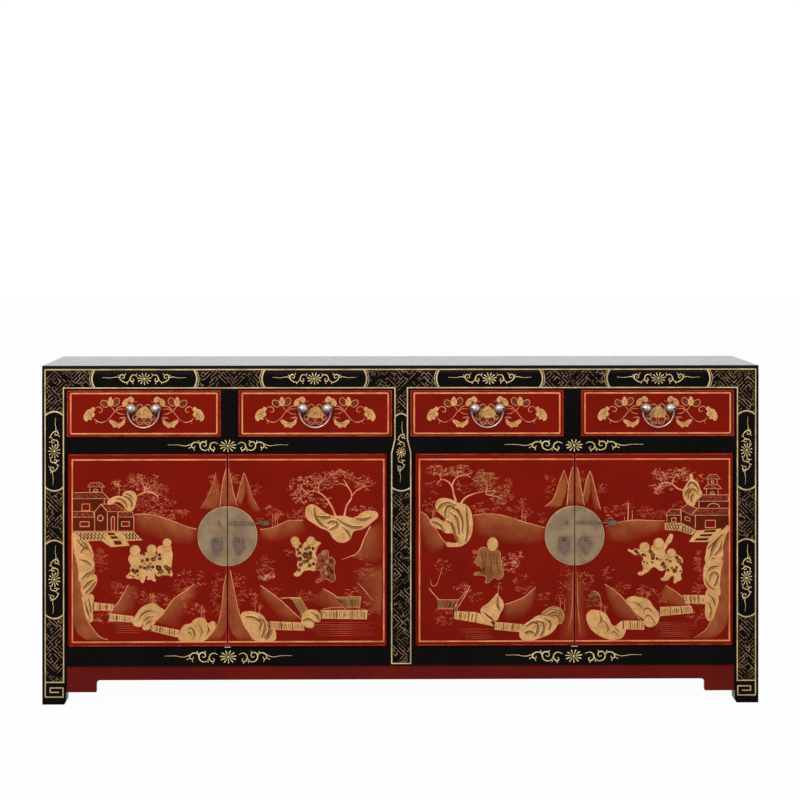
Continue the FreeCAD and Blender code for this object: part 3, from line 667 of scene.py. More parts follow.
def frame_lines():
    outer = [(-LEG_OUT, FOOT_END), (-LEG_OUT, TOP_LINE), (LEG_OUT, TOP_LINE), (LEG_OUT, FOOT_END)]
    inner = [(LEG_OUT, FOOT_LINE), (LEG_IN, FOOT_LINE), (LEG_IN, RAIL_LINE), (STILE_IN, RAIL_LINE),
             (STILE_IN, STILE_SLOPE_HIGH), (STILE_OUT, STILE_SLOPE_LOW), (STILE_OUT, STILE_END),
             (0, STILE_END)]
    routes = [outer]
    for side in (-1, 1):
        routes += [[(x * side, z) for x, z in route] for route in (inner, FOOT_KEY)]
    lines = [Stroke(route, FRAME_LINE, smooth=False) for route in routes]
    for span in TOP_CARTOUCHES:
        for place, side in zip(span, (-1, 1)):
            for gap, width in ((0.0, RAIL_ARC), (THIN_ARC_GAP, RAIL_THIN_ARC)):
                arc = arc_end(place + gap * side, side, RAIL_MIDDLE, RAIL_HALF, RAIL_BULGE, width)
                lines.append(arc)
    for middle in (-LEG_MIDDLE, LEG_MIDDLE):
        for span in LEG_CARTOUCHES:
            for place, side in zip(span, (-1, 1)):
                lines.append(arc_end(place, side, middle, LEG_HALF, LEG_BULGE, LEG_ARC, along_z=True))
    for place, side in zip(STILE_CARTOUCHE, (-1, 1)):
        lines.append(arc_end(place, side, 0, stile_edge(place), STILE_BULGE, STILE_ARC, along_z=True))
    return lines


def frame_ornaments():
    strokes = []
    for low, high in TOP_CARTOUCHES:
        strokes += scroll_ornament(((low + high) / 2, RAIL_MIDDLE), SHORT, *RAIL_ORNAMENT)
    for side in (-1, 1):
        for low, high in LEG_CARTOUCHES:
            centre = (LEG_MIDDLE * side, (low + high) / 2)
            strokes += scroll_ornament(centre, SHORT, *LEG_ORNAMENT, along_z=True)
        for x, z, flower, length, longer, height in DOOR_RAIL_ORNAMENTS:
            scale = (length + longer * side, height)
            strokes += scroll_ornament((x * side, z), LONG, flower, scale)
    centre = (0, sum(STILE_CARTOUCHE) / 2)
    strokes += scroll_ornament(centre, SHORT, *STILE_ORNAMENT, along_z=True)
    return strokes


paint_lines("frame_gold_lines", "carcass", frame_lines(), FRAME_GOLD)
paint_lines("frame_fret", "carcass", fret_strokes(), FRET_GOLD)
paint_lines("frame_scrolls", "carcass", frame_ornaments(), SCROLL_GOLD)


# Drawer fronts: a gold border and a lotus spray, in millimetres from the middle of the front

DRAWER_CENTRES = (-645.25, -215.75, 215.75, 645.25)
DRAWER_MIDDLE = 729.75
DRAWER_BORDER, BORDER_CORNER, BORDER_WIDTH = (183, 50.5), 2.5, 3.5
DRAWER_EDGE, EDGE_CORNER, EDGE_WIDTH = (191, 56.5), 1.0, 1.7
SPRAY_LEAVES = [
    [(-53, 22), (-51, 31), (-46, 36), (-40, 38), (-34, 42), (-27, 38), (-25, 31), (-31, 27), (-37, 30),
     (-41, 23), (-48, 19)],
    [(-90, 25), (-89, 33), (-83, 41), (-79, 35), (-76, 29), (-80, 20), (-86, 19)],
    [(-150, -13), (-150, -5), (-146, 3), (-141, 9), (-134, 11), (-126, 16), (-123, 9), (-127, 4), (-123, -1),
     (-126, -7), (-131, -9), (-131, -15), (-138, -14), (-143, -19)],
    [(-86, -17), (-83, -25), (-78, -29), (-76, -34), (-68, -33), (-62, -36), (-56, -31), (-50, -27),
     (-49, -16), (-55, -21), (-62, -23), (-70, -22), (-77, -18)],
]
SPRAY_BODY = [(-20, -3), (-16, 7), (-4, 15), (5, 17), (13, 10), (20, 4), (20, -6), (5, -11), (-11, -9)]
SPRAY_PETALS = [
    [(-107, 31), (-102, 18), (-93, 17), (-89, 23), (-98, 33)],
    [(-77, 23), (-74, 36), (-66, 39), (-61, 33), (-66, 22), (-75, 20)],
    [(-18, 10), (-11, 23), (-2, 14), (-8, 6)],
    [(-17, -21), (-17, -13), (-10, -9), (-4, -13), (-2, -21), (-9, -28)],
    [(-28, -12), (-22, -17), (-18, -10), (-22, -4)],
]
SPRAY_STEMS = [
    [(-82, 19), (-76, 10), (-72, 6)],
    [(-48, 11), (-62, 11), (-73, 5), (-84, -9), (-95, -19)],
    [(-71, 7), (-61, 0), (-48, -2)],
    [(-126, -10), (-118, -19), (-106, -22)],
    [(-120, -20), (-119, -27)],
    [(-62, -13), (-56, -10), (-48, -17)],
    [(-24, 28), (-17, 31)],
    [(-31, -13), (-22, -13), (-16, -9)],
    [(-17, -25), (-9, -22), (-2, -27)],
    [(-2, -28), (0, -20), (2, -28)],
    [(-95, -19), (-103, -22), (-112, -21), (-120, -16)],
    [(-71, 7), (-66, 14), (-58, 18), (-46, 18)],
    [(-50, -17), (-46, -13), (-50, -9), (-55, -12)],
    [(-22, 4), (-27, 10), (-24, 16)],
    [(-124, 6), (-118, 16), (-108, 15), (-104, 8), (-109, 3), (-114, 6)],
]
PETAL_LINE, LEAF_LINE, STEM_LINE, VEIN_LINE, FLECK_LINE = 1.6, 1.0, 1.9, 1.5, 1.3
BODY_FLECKS, FLECK_FIELD = 30, ((-17, 17), (-8, 11))
VEIN_BEND, VEIN_REACH = 0.5, 0.75


def rounded_border(half_x, half_z, radius):
    points = []
    for start, (side_x, side_z) in zip((0, 90, 180, 270), ((1, 1), (-1, 1), (-1, -1), (1, -1))):
        for step in (0, 30, 60, 90):
            angle = math.radians(start + step)
            points.append((side_x * (half_x - radius) + radius * math.cos(angle),
                           side_z * (half_z - radius) + radius * math.sin(angle)))
    return points


def leaf_veins(leaf):
    """Veins from the middle of a leaf towards every second point of its outline."""
    middle = middle_of(leaf)
    veins = []
    for tip in leaf[1::2]:
        x, z = between(middle, tip, VEIN_BEND)
        veins.append([middle, (x, z + 1), between(middle, tip, VEIN_REACH)])
    return veins


def paint_drawer(number, centre):
    body = f"drawer_{number}"

    def here(points):
        return [(centre + x, DRAWER_MIDDLE + z) for x, z in points]

    def both_sides(motifs):
        placed = []
        for points in motifs:
            placed += [here(points), here([(-x, z) for x, z in points[::-1]])]
        return placed

    outline = here(rounded_border(*DRAWER_BORDER, BORDER_CORNER))
    border = Stroke(outline, BORDER_WIDTH, smooth=False, closed=True)
    paint_lines(f"{body}_border", body, [border], BORDER_GOLD)
    # A pale line round the front: painted edge highlight, patchy like wear
    outline = here(rounded_border(*DRAWER_EDGE, EDGE_CORNER))
    edge = Stroke(outline, EDGE_WIDTH, smooth=False, closed=True)
    paint_lines(f"{body}_worn_edge", body, [edge], WEAR_AND_HIGHLIGHT_RED, flatten=PRESSED)
    leaves = [here(SPRAY_BODY)] + both_sides(SPRAY_LEAVES)
    paint_shapes(f"{body}_leaves", body, leaves, GOLD)
    petals = both_sides(SPRAY_PETALS)
    paint_shapes(f"{body}_petals", body, petals, PETAL, level=0.0)
    stems = [Stroke(points, PETAL_LINE, closed=True) for points in petals]
    stems += [Stroke(points, LEAF_LINE, closed=True) for points in leaves]
    stems += [Stroke(points, STEM_LINE, taper="both") for points in both_sides(SPRAY_STEMS)]
    paint_lines(f"{body}_stems", body, stems, ROSE, level=OUTLINE_LEVEL)
    veins = []
    for leaf in SPRAY_LEAVES:
        veins += [Stroke(points, VEIN_LINE, taper="both") for points in both_sides(leaf_veins(leaf))]
    hand = random.Random(number)
    for _ in range(BODY_FLECKS):
        x, z = (hand.uniform(*limits) for limits in FLECK_FIELD)
        fleck = [(x - 2, z - 2), (x + hand.uniform(-1, 1), z), (x + 1.5, z + 2.5)]
        veins.append(Stroke(here(fleck), FLECK_LINE, taper="both"))
    paint_lines(f"{body}_veins", body, veins, OCHRE, level=VEIN_LEVEL)


for number, centre in zip(NUMBERS, DRAWER_CENTRES):
    paint_drawer(number, centre)


# Doors: landscapes in gold, rose and brown, laid out on a squared sheet from its upper left corner

SQUARE = 0.2754
SHEET_TOP = 635.8
SHEET_LEFT = {1: -854.6, 2: -440.3, 3: 6.65, 4: 420.97}
BORDER_SIDES = {1: (-824.5, -438.0), 2: (-434.2, -43.8), 3: (46.0, 434.2), 4: (438.0, 826.5)}
BORDER_LOW, BORDER_HIGH = 156.4, 613.7
DOOR_BORDER_WIDTH = 3.4
DOOR_LOW, DOOR_HIGH = 145.0, 628.5
EDGE_INSET = 2.2
HINGE_INSET = 4 * EDGE_INSET
SHAPE_STEP = 0.004
# Widths of lines are in millimetres, distances in squares of the sheet, and places are shares of a way
HILL_LINE, ROCK_LINE, CREASE_LINE, INK_EVERY = 1.7, 1.4, 2.4, 3
# Folds of a rock: paint, shift across and down, width, level and flatness
ROCK_FOLDS = (
    (PALE, -6, -12, 3.4, DETAIL_LEVEL, 0.05),
    (SHADE, 8, 9, 8.0, DETAIL_LEVEL, 0.03),
    (OCHRE, 3, 3, 4.6, TOP_LEVEL, 0.04),
)
# Fine lines beside a fold: shift and width
ROCK_ECHOES = ((22, 1.7), (-15, 1.2))
ECHO_SIZE = 0.7
# Fences: slats that stand unevenly, and a post where each panel starts
FENCE_LINE, SLAT_WIDTHS = 1.2, (0.8, 2.2)
SLAT_TOPS, SLAT_FEET, SLAT_SHIFT, SLAT_LEAN = (0.08, 0.3), (0.7, 0.94), 0.3, 5
POST_PLACE, POST_TOP, POST_FOOT, POST_WIDTH = 0.03, 0.02, 0.98, 2.6
LATTICE_LINE = 1.9
# Foliage: tufts of short strokes; a leaf's lean is in radians and its bow a share of its size
TUFT_LEAVES, TUFT_SIDE, TUFT_HEIGHT = 4, 20, 9
LEAF_SIZES, LEAF_LEAN, LEAF_BOW = (8, 20), 0.35, 0.25
LEAF_WIDTH, LEAF_PRESSURE = 0.85, (0.7, 1.3)
REED_LEAN, REED_LINE, REED_TUFTS, REED_SIDE = 6, 1.2, 5, 24
REED_LEAF_PLACE, REED_LEAF_REACH = 0.75, 0.3
WATER_STEP, WATER_DRIFT, WATER_LINE = 17, 12, 0.8
WATER_STARTS, WATER_STOPS, WATER_BOW, WATER_FALL = 60, 80, 3, 4
# Figures: blossoms in shares of their radius, and folds from the coat's middle towards its edge
BLOSSOM_PETALS, BLOSSOM_SPREAD, DAB_REACH, DAB_WIDTH, DAB_FLATNESS = 5, 0.66, 0.7, 0.5, 0.07
HEARTED_RADIUS, HEART_REACH, HEART_WIDTH, DAB_BOW = 16, 3, 1.6, 0.5
COAT_FOLD = (0.35, 0.62, 0.88)
COAT_LINE, HEAD_LINE, FOLD_WIDTH, FOLD_FLATNESS = 1.2, 1.4, 2.8, 0.06
FOLD_FIRST, FOLD_STEP, FOLD_BOW = 2, 5, (5, -4)
# Buildings: lines, and tiles scattered over a roof with a gap to its edges
OPENING_LINE, ROOF_LINE, HOUSE_EDGE = 1.9, 1.3, 1.8
TILE_PITCH, TILE_SIDE_GAP, TILE_END_GAP, TILE_REACH, TILE_LEAN, TILE_LINE = 20, 30, 12, 8, 2, 0.8
DISC_POINTS = 8
PICTURE_SEED = 40


def rect(left, top, right, bottom):
    return [(left, top), (right, top), (right, bottom), (left, bottom)]


def disc(x, y, radius, stretch=1.0):
    angles = [2 * math.pi * k / DISC_POINTS for k in range(DISC_POINTS)]
    return [(x + radius * math.cos(angle), y + radius * stretch * math.sin(angle)) for angle in angles]


class Picture:
    """One door's painting, gathered stroke by stroke and then laid on the door."""

    def __init__(self, number):
        self.body = f"door_{number}"
        self.number = number
        self.hand = random.Random(PICTURE_SEED + number)
        self.lines = {}
        self.shapes = {}
        self.washes = []

    def at(self, points):
        return [(SHEET_LEFT[self.number] + x * SQUARE, SHEET_TOP - y * SQUARE) for x, y in points]

    def line(self, paint, points, width, level=LINE_LEVEL, flatten=RAISED, **style):
        self.lines.setdefault((paint, level, flatten), []).append(Stroke(self.at(points), width, **style))

    def stem(self, width, *points):
        """A branch or a reed, thinning towards its tip."""
        self.line(ROSE, points, width, taper="end")

    def shape(self, paint, *outlines, smooth=True):
        self.shapes.setdefault(paint, []).append(([self.at(outline) for outline in outlines], smooth))

    def wash(self, edge, end, strength, kept=0.0):
        self.washes.append((self.at(edge), self.at(end), strength, kept))

    def hill(self, edge, end, strength, width=HILL_LINE, kept=0.0, **style):
        """A painted ridge: a bright line with brown brushed away from it."""
        self.wash(edge, end, strength, kept)
        self.line(ROSE, edge, width, **style)

    def rock(self, outline, creases, paint=GOLD):
        """A gold rock with folds: a pale ridge, a broad shade, a dark line and fine lines that echo it."""
        self.shape(paint, outline)
        self.line(ROSE, outline, ROCK_LINE, OUTLINE_LEVEL, closed=True)
        for count, crease in enumerate(creases):
            for tone, across, down, width, level, flatness in ROCK_FOLDS:
                fold = [(x + across, y + down) for x, y in crease]
                self.line(tone, fold, width, level, flatness, taper="both")
            tone = CREASE if count % INK_EVERY else INK
            self.line(tone, crease, CREASE_LINE, CREASE_LEVEL, taper="both")
            middle = crease[len(crease) // 2]
            for shift, width in ROCK_ECHOES:
                echo = [between(middle, place, ECHO_SIZE) for place in crease]
                echo = [(x + shift * ECHO_SIZE, y + shift) for x, y in echo]
                self.line(OCHRE, echo, width, DETAIL_LEVEL, taper="both")

    def fence(self, corners, slats, paint=GOLD, panels=3):
        """A low wall of slats in panels between two upper and two lower corners."""
        self.shape(paint, corners, smooth=False)
        self.line(ROSE, corners, FENCE_LINE, OUTLINE_LEVEL, smooth=False, closed=True)
        upper_left, upper_right, lower_right, lower_left = corners

        def upright(share, high, foot, lean, tone, width):
            top = between(upper_left, upper_right, share)
            base = between(lower_left, lower_right, share)
            x, y = between(top, base, foot)
            self.line(tone, [between(top, base, high), (x + lean, y)], width, SLAT_LEVEL)

        for k in range(1, slats):
            share = (k + self.hand.uniform(-SLAT_SHIFT, SLAT_SHIFT)) / slats
            high, foot = self.hand.uniform(*SLAT_TOPS), self.hand.uniform(*SLAT_FEET)
            lean = self.hand.uniform(-SLAT_LEAN, SLAT_LEAN)
            tone = self.hand.choice((INK, CREASE, OCHRE, OCHRE))
            upright(share, high, foot, lean, tone, self.hand.uniform(*SLAT_WIDTHS))
        for k in range(panels):
            place, tone = (k + POST_PLACE) / panels, CREASE if k else INK
            upright(place, POST_TOP, POST_FOOT, 0, tone, POST_WIDTH)

    def lattice(self, upper, lower, pitch):
        """A railing of crossed slats between an upper and a lower edge."""
        count = max(2, int((upper[1][0] - upper[0][0]) / pitch))
        for start in (0, 1):
            points = [between(*(upper if (k + start) % 2 else lower), k / count) for k in range(count + 1)]
            self.line(INK, points, LATTICE_LINE, TOP_LEVEL, smooth=False)

    def leaves(self, spots, paint=LEAF, width=LEAF_WIDTH):
        """Loose foliage: tufts of short bent strokes scattered in ovals, each oval with its own count."""
        for x, y, reach_x, reach_y, tufts in spots:
            for _ in range(tufts):
                angle = self.hand.uniform(0, 2 * math.pi)
                share = math.sqrt(self.hand.random())
                tuft_x = x + reach_x * share * math.cos(angle)
                tuft_y = y + reach_y * share * math.sin(angle)
                for _ in range(TUFT_LEAVES):
                    leaf_x = tuft_x + self.hand.uniform(-TUFT_SIDE, TUFT_SIDE)
                    leaf_y = tuft_y + self.hand.uniform(-TUFT_HEIGHT, TUFT_HEIGHT)
                    size = self.hand.uniform(*LEAF_SIZES)
                    lean = self.hand.uniform(-LEAF_LEAN, LEAF_LEAN)
                    bow = self.hand.choice((-LEAF_BOW, LEAF_BOW)) * size
                    half_x, half_y = size / 2 * math.cos(lean), size / 2 * math.sin(lean)
                    stroke = [(leaf_x - half_x, leaf_y - half_y), (leaf_x, leaf_y + bow),
                              (leaf_x + half_x, leaf_y + half_y)]
                    pressed = width * self.hand.uniform(*LEAF_PRESSURE)
                    self.line(paint, stroke, pressed, LEAF_LEVEL, taper="both")

    def reeds(self, roots, height):
        for x, y in roots:
            lean = self.hand.uniform(-REED_LEAN, REED_LEAN)
            self.stem(REED_LINE, (x, y), (x + lean / 2, y - height / 2), (x + lean, y - height))
            reach = height * REED_LEAF_REACH
            self.leaves([(x + lean, y - height * REED_LEAF_PLACE, REED_SIDE, reach, REED_TUFTS)])

    def water(self, left, right, top, count):
        """Faint level lines, each a little further to the right."""
        for k in range(count):
            y = top + k * WATER_STEP
            start = left + self.hand.uniform(0, WATER_STARTS) + k * WATER_DRIFT
            stop = right - self.hand.uniform(0, WATER_STOPS)
            crest = ((start + stop) / 2, y + self.hand.uniform(-WATER_BOW, WATER_BOW))
            ripple = [(start, y), crest, (stop, y + WATER_FALL)]
            self.line(LEAF, ripple, WATER_LINE, LEAF_LEVEL, taper="both")

    def blossom(self, x, y, radius, tone):
        """A flower on a coat: dabs round a centre, turned by its size; a large one has a gold heart."""
        def dab(middle_x, middle_y, reach):
            bow = middle_y + DAB_BOW
            return [(middle_x - reach, middle_y), (middle_x, bow), (middle_x + reach, middle_y)]

        for petal in range(BLOSSOM_PETALS):
            angle = petal * 2 * math.pi / BLOSSOM_PETALS + radius
            petal_x = x + radius * BLOSSOM_SPREAD * math.cos(angle)
            petal_y = y + radius * BLOSSOM_SPREAD * math.sin(angle)
            stroke = dab(petal_x, petal_y, radius * DAB_REACH)
            self.line(tone, stroke, radius * DAB_WIDTH, DETAIL_LEVEL, DAB_FLATNESS, taper="both")
        if radius > HEARTED_RADIUS:
            self.line(GOLD, dab(x, y, HEART_REACH), HEART_WIDTH, HEART_LEVEL)

    def child(self, body, head, blossoms, paint=GOLD):
        """A small figure in a flowered coat: one flat shape and a round head, with no features."""
        self.shape(paint, body)
        self.line(ROSE, body, COAT_LINE, OUTLINE_LEVEL, closed=True)
        middle = middle_of(body)
        fold_tone = OCHRE if paint is GOLD else CREASE
        for tip in body[FOLD_FIRST::FOLD_STEP]:
            start, (x, y), stop = (between(middle, tip, share) for share in COAT_FOLD)
            fold = [start, (x + FOLD_BOW[0], y + FOLD_BOW[1]), stop]
            self.line(fold_tone, fold, FOLD_WIDTH, DETAIL_LEVEL, FOLD_FLATNESS, taper="both")
        self.shape(SHADE if paint is FADED else GOLD, disc(*head))
        self.line(OCHRE, disc(*head), HEAD_LINE, DETAIL_LEVEL, closed=True)
        tones = (BLOT, SHADE if paint is FADED else CREASE)
        for count, blossom in enumerate(blossoms):
            self.blossom(*blossom, tones[count % 2])

    def building(self, walls, roofs, edges):
        """Walls with openings left in them, roofs with tile strokes, and gold edges."""
        for wall, *openings in walls:
            self.shape(WALL, wall, *openings, smooth=False)
            for opening in openings:
                self.line(ROSE, opening + opening[:1], OPENING_LINE, DETAIL_LEVEL, smooth=False)
        for roof in roofs:
            self.shape(ROOF, roof, smooth=False)
            self.line(ROSE, roof + roof[:1], ROOF_LINE, DETAIL_LEVEL, smooth=False)
            (low_x, high_x), (low_y, high_y) = ((min(values), max(values)) for values in zip(*roof))
            for _ in range(int((high_x - low_x) / TILE_PITCH)):
                x = self.hand.uniform(low_x + TILE_SIDE_GAP, high_x - TILE_SIDE_GAP)
                y = self.hand.uniform(low_y + TILE_END_GAP, high_y - TILE_END_GAP)
                tile = [(x, y - TILE_REACH), (x + TILE_LEAN, y + TILE_REACH)]
                self.line(LEAF, tile, TILE_LINE, DETAIL_LEVEL)
        for edge in edges:
            self.line(ROSE, edge, HOUSE_EDGE, DETAIL_LEVEL, smooth=False)

    def lay_edges(self):
        """The gold border, open at the seam, and a pale patchy line along the edge of the board, painted
        highlight and wear together.
        """
        meets_right = self.number in (1, 3)
        left, right = BORDER_SIDES[self.number]
        outer, seam = (left, right) if meets_right else (right, left)
        border = [(seam, BORDER_HIGH), (outer, BORDER_HIGH), (outer, BORDER_LOW), (seam, BORDER_LOW)]
        stroke = Stroke(border, DOOR_BORDER_WIDTH, smooth=False)
        paint_lines(f"{self.body}_border", self.body, [stroke], BORDER_GOLD)
        (low_x, _, _), (high_x, _, _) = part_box(f"{self.body}_panel")
        if meets_right:
            hinge, meeting = low_x * METRE + HINGE_INSET, high_x * METRE - EDGE_INSET
        else:
            hinge, meeting = high_x * METRE - HINGE_INSET, low_x * METRE + EDGE_INSET
        # A pale line round the board: painted edge highlight, patchy like wear
        high, low = DOOR_HIGH - EDGE_INSET, DOOR_LOW + EDGE_INSET
        edge = [(hinge, high), (meeting, high), (meeting, low), (hinge, low)]
        stroke = Stroke(edge, EDGE_WIDTH, smooth=False)
        paint_lines(f"{self.body}_worn_edge", self.body, [stroke], WEAR_AND_HIGHLIGHT_RED, flatten=PRESSED)

    def finish(self):
        """Lays everything on the door; later shapes lie a little higher, so that none share a plane."""
        self.lay_edges()
        paint_washes(f"{self.body}_washes", self.body, self.washes)
        level = 0.0
        for paint, groups in self.shapes.items():
            name = f"{self.body}_{paint.name}"
            pieces = []
            for outlines, smooth in groups:
                level += SHAPE_STEP
                pieces.append(paint_shapes(name, self.body, outlines, paint, level, smooth))
            join(pieces)
        for k, ((paint, level, flatten), strokes) in enumerate(self.lines.items()):
            name = f"{self.body}_{paint.name}_{k}"
            paint_lines(name, self.body, strokes, paint, level=level, flatten=flatten)


def door_1_house(door):
    """A house on a terrace with a flight of steps."""
    door.building(
        walls=[
            [rect(268, 328, 380, 370), [(300, 368), (305, 350), (320, 344), (335, 350), (340, 368)]],
            [rect(108, 435, 400, 545), rect(197, 480, 268, 542)],
            [rect(108, 602, 310, 726), rect(180, 642, 262, 686)],
            [[(312, 726), (312, 552), (370, 488), (424, 552), (424, 726)], disc(364, 610, 27)],
            [rect(432, 556, 520, 726), [(464, 722), (464, 605), (478, 592), (492, 605), (492, 722)]],
            [rect(528, 602, 664, 718), rect(557, 642, 627, 684)],
        ],
        roofs=[
            [(248, 325), (276, 288), (364, 288), (404, 325)],
            [(108, 378), (385, 374), (440, 432), (108, 432)],
            [(108, 548), (300, 548), (308, 600), (108, 600)],
            [(374, 482), (505, 482), (600, 550), (430, 550)],
            [(528, 553), (655, 553), (668, 600), (528, 600)],
        ],
        edges=[
            [(108, 730), (672, 730)], [(312, 728), (312, 552), (370, 484), (428, 552), (428, 728)],
            [(522, 728), (522, 556)], [(668, 728), (668, 602)], [(400, 432), (400, 480)],
            [(268, 328), (268, 372)], [(380, 328), (380, 372)],
        ],
    )
    door.shape(
        GOLD,
        [(108, 738), (676, 738), (750, 812), (604, 818), (632, 862), (452, 874), (368, 818), (262, 824),
         (112, 760)],
        [(428, 744), (488, 744), (500, 766), (440, 766)],
        [(450, 776), (515, 773), (528, 796), (468, 799)],
        [(480, 818), (548, 815), (562, 850), (500, 854)],
        smooth=False,
    )
    door.shape(WALL, rect(430, 740, 560, 852), smooth=False)
    for first, last in ((150, 388), (566, 722)):
        upper, lower = [(first, 746), (last, 746)], [(first + 36, 804), (last + 20, 804)]
        door.lattice(upper, lower, pitch=30)
    door.line(INK, [(262, 822), (372, 816), (450, 872)], 1.6, level=SLAT_LEVEL, smooth=False)


def door_1_trees(door):
    """A rock with trees behind the house, a hill and two peaks."""
    door.rock(
        [(430, 465), (470, 425), (520, 408), (565, 410), (578, 378), (620, 362), (665, 372), (692, 410),
         (684, 480), (655, 540), (605, 538), (575, 495), (535, 462), (500, 462), (470, 482), (440, 486)],
        [[(570, 405), (612, 420), (640, 455), (640, 505)], [(592, 385), (632, 400), (658, 435)],
         [(505, 432), (545, 432), (585, 462), (602, 512)]],
    )
    door.line(
        ROSE,
        [(690, 415), (735, 388), (800, 373), (850, 385), (880, 410), (895, 438)],
        3.8, taper="both",
    )
    door.stem(2.6, (762, 374), (766, 335), (746, 300), (735, 258))
    door.stem(2.0, (766, 335), (790, 305), (800, 270))
    door.stem(1.8, (880, 410), (905, 398), (930, 402))
    door.stem(1.3, (537, 404), (533, 330), (528, 262))
    door.leaves([(770, 285, 150, 80, 33), (530, 325, 66, 66, 11)], paint=ROSE)
    door.leaves(
        [(770, 285, 150, 80, 50), (930, 370, 70, 60, 22), (690, 260, 80, 50, 22), (530, 325, 66, 66, 14)],
    )
    door.leaves([(850, 490, 200, 80, 72), (1020, 580, 130, 50, 38), (760, 420, 90, 50, 22)])
    door.hill(
        [(674, 578), (760, 573), (850, 581), (950, 614), (1060, 652), (1150, 688), (1240, 713)],
        [(690, 745), (780, 775), (960, 825), (1060, 850), (1150, 856), (1232, 836)],
        strength=1.0,
    )
    door.hill(
        [(1414, 200), (1384, 300), (1334, 420), (1272, 520)],
        [(1452, 320), (1446, 400), (1440, 470), (1420, 540)],
        strength=0.8, width=1.2, kept=0.6, taper="end",
    )
    door.hill(
        [(1508, 160), (1482, 260), (1461, 400), (1448, 505)],
        [(1514, 170), (1514, 500)],
        strength=0.9, kept=0.85,
    )
    door.leaves([(1400, 330, 90, 120, 22), (1150, 545, 60, 30, 5)])


def door_1_cliff(door):
    """A cliff down the outer side."""
    door.rock(
        [(112, 748), (190, 760), (255, 830), (285, 890), (302, 960), (290, 986), (250, 960), (215, 936),
         (165, 930), (130, 906), (118, 830)],
        [[(150, 800), (190, 850), (240, 880)], [(180, 800), (230, 850), (280, 930)]],
    )
    door.rock(
        [(132, 906), (200, 926), (262, 941), (302, 996), (308, 1051), (285, 1101), (250, 1131), (215, 1178),
         (190, 1198), (165, 1086), (145, 976)],
        [[(190, 1166), (240, 1116), (290, 1091), (305, 1056)], [(170, 986), (230, 996), (280, 1036)],
         [(180, 926), (215, 881), (250, 891)]],
    )
    door.rock(
        [(195, 1204), (250, 1148), (300, 1122), (326, 1136), (333, 1176), (310, 1238), (270, 1288),
         (235, 1316), (205, 1308)],
        [[(205, 1251), (250, 1196), (300, 1166)], [(225, 1296), (275, 1236), (320, 1186)]],
    )
    door.rock(
        [(205, 1321), (250, 1314), (290, 1306), (298, 1386), (292, 1466), (280, 1556), (250, 1526),
         (225, 1466), (212, 1396)],
        [[(225, 1366), (240, 1446), (270, 1526)], [(255, 1336), (265, 1406), (275, 1476)]],
    )
    door.hill(
        [(118, 866), (132, 926), (165, 1086), (195, 1266), (215, 1426), (250, 1546), (305, 1628),
         (362, 1692), (432, 1719)],
        [(112, 866), (110, 926), (110, 1266), (112, 1426), (120, 1566), (160, 1666), (230, 1716),
         (330, 1728)],
        strength=0.95, kept=0.6,
    )


def door_1_children(door):
    """Three children at play."""
    door.child(
        [(635, 945), (620, 985), (630, 1015), (645, 1045), (635, 1070), (640, 1095), (620, 1120),
         (600, 1145), (620, 1160), (665, 1155), (715, 1165), (725, 1125), (720, 1090), (725, 1045),
         (735, 995), (730, 950), (705, 930), (665, 930)],
        head=(680, 905, 48),
        blossoms=[(660, 1085, 15), (680, 1100, 15), (700, 1090, 13), (635, 1130, 8), (660, 1140, 8),
                  (705, 1130, 8)],
    )
    door.child(
        [(925, 860), (895, 870), (880, 900), (885, 935), (880, 960), (870, 1000), (870, 1045), (865, 1100),
         (875, 1130), (900, 1140), (925, 1130), (950, 1130), (985, 1130), (1010, 1140), (1020, 1130),
         (1010, 1090), (1010, 1025), (1020, 945), (1010, 900), (1000, 860), (965, 850)],
        head=(970, 835, 40),
        blossoms=[(900, 945, 13), (905, 980, 14), (895, 1065, 22), (915, 1095, 19), (880, 1050, 12),
                  (960, 1055, 17), (985, 1075, 19), (990, 1105, 12), (890, 1115, 8)],
    )
    door.child(
        [(790, 925), (750, 935), (735, 960), (735, 995), (725, 1030), (720, 1060), (725, 1100), (715, 1140),
         (725, 1170), (740, 1195), (750, 1200), (765, 1175), (780, 1140), (790, 1130), (795, 1155),
         (790, 1170), (820, 1170), (865, 1185), (860, 1160), (855, 1130), (860, 1100), (865, 1065),
         (870, 1010), (875, 960), (865, 935), (825, 920)],
        head=(830, 895, 44),
        blossoms=[(760, 940, 12), (745, 1000, 14), (790, 990, 15), (845, 985, 18), (865, 960, 10),
                  (730, 1055, 14), (765, 1065, 13), (800, 1055, 17), (840, 1055, 14), (785, 1080, 8),
                  (820, 1080, 8), (765, 1025, 9), (820, 1025, 9)],
    )


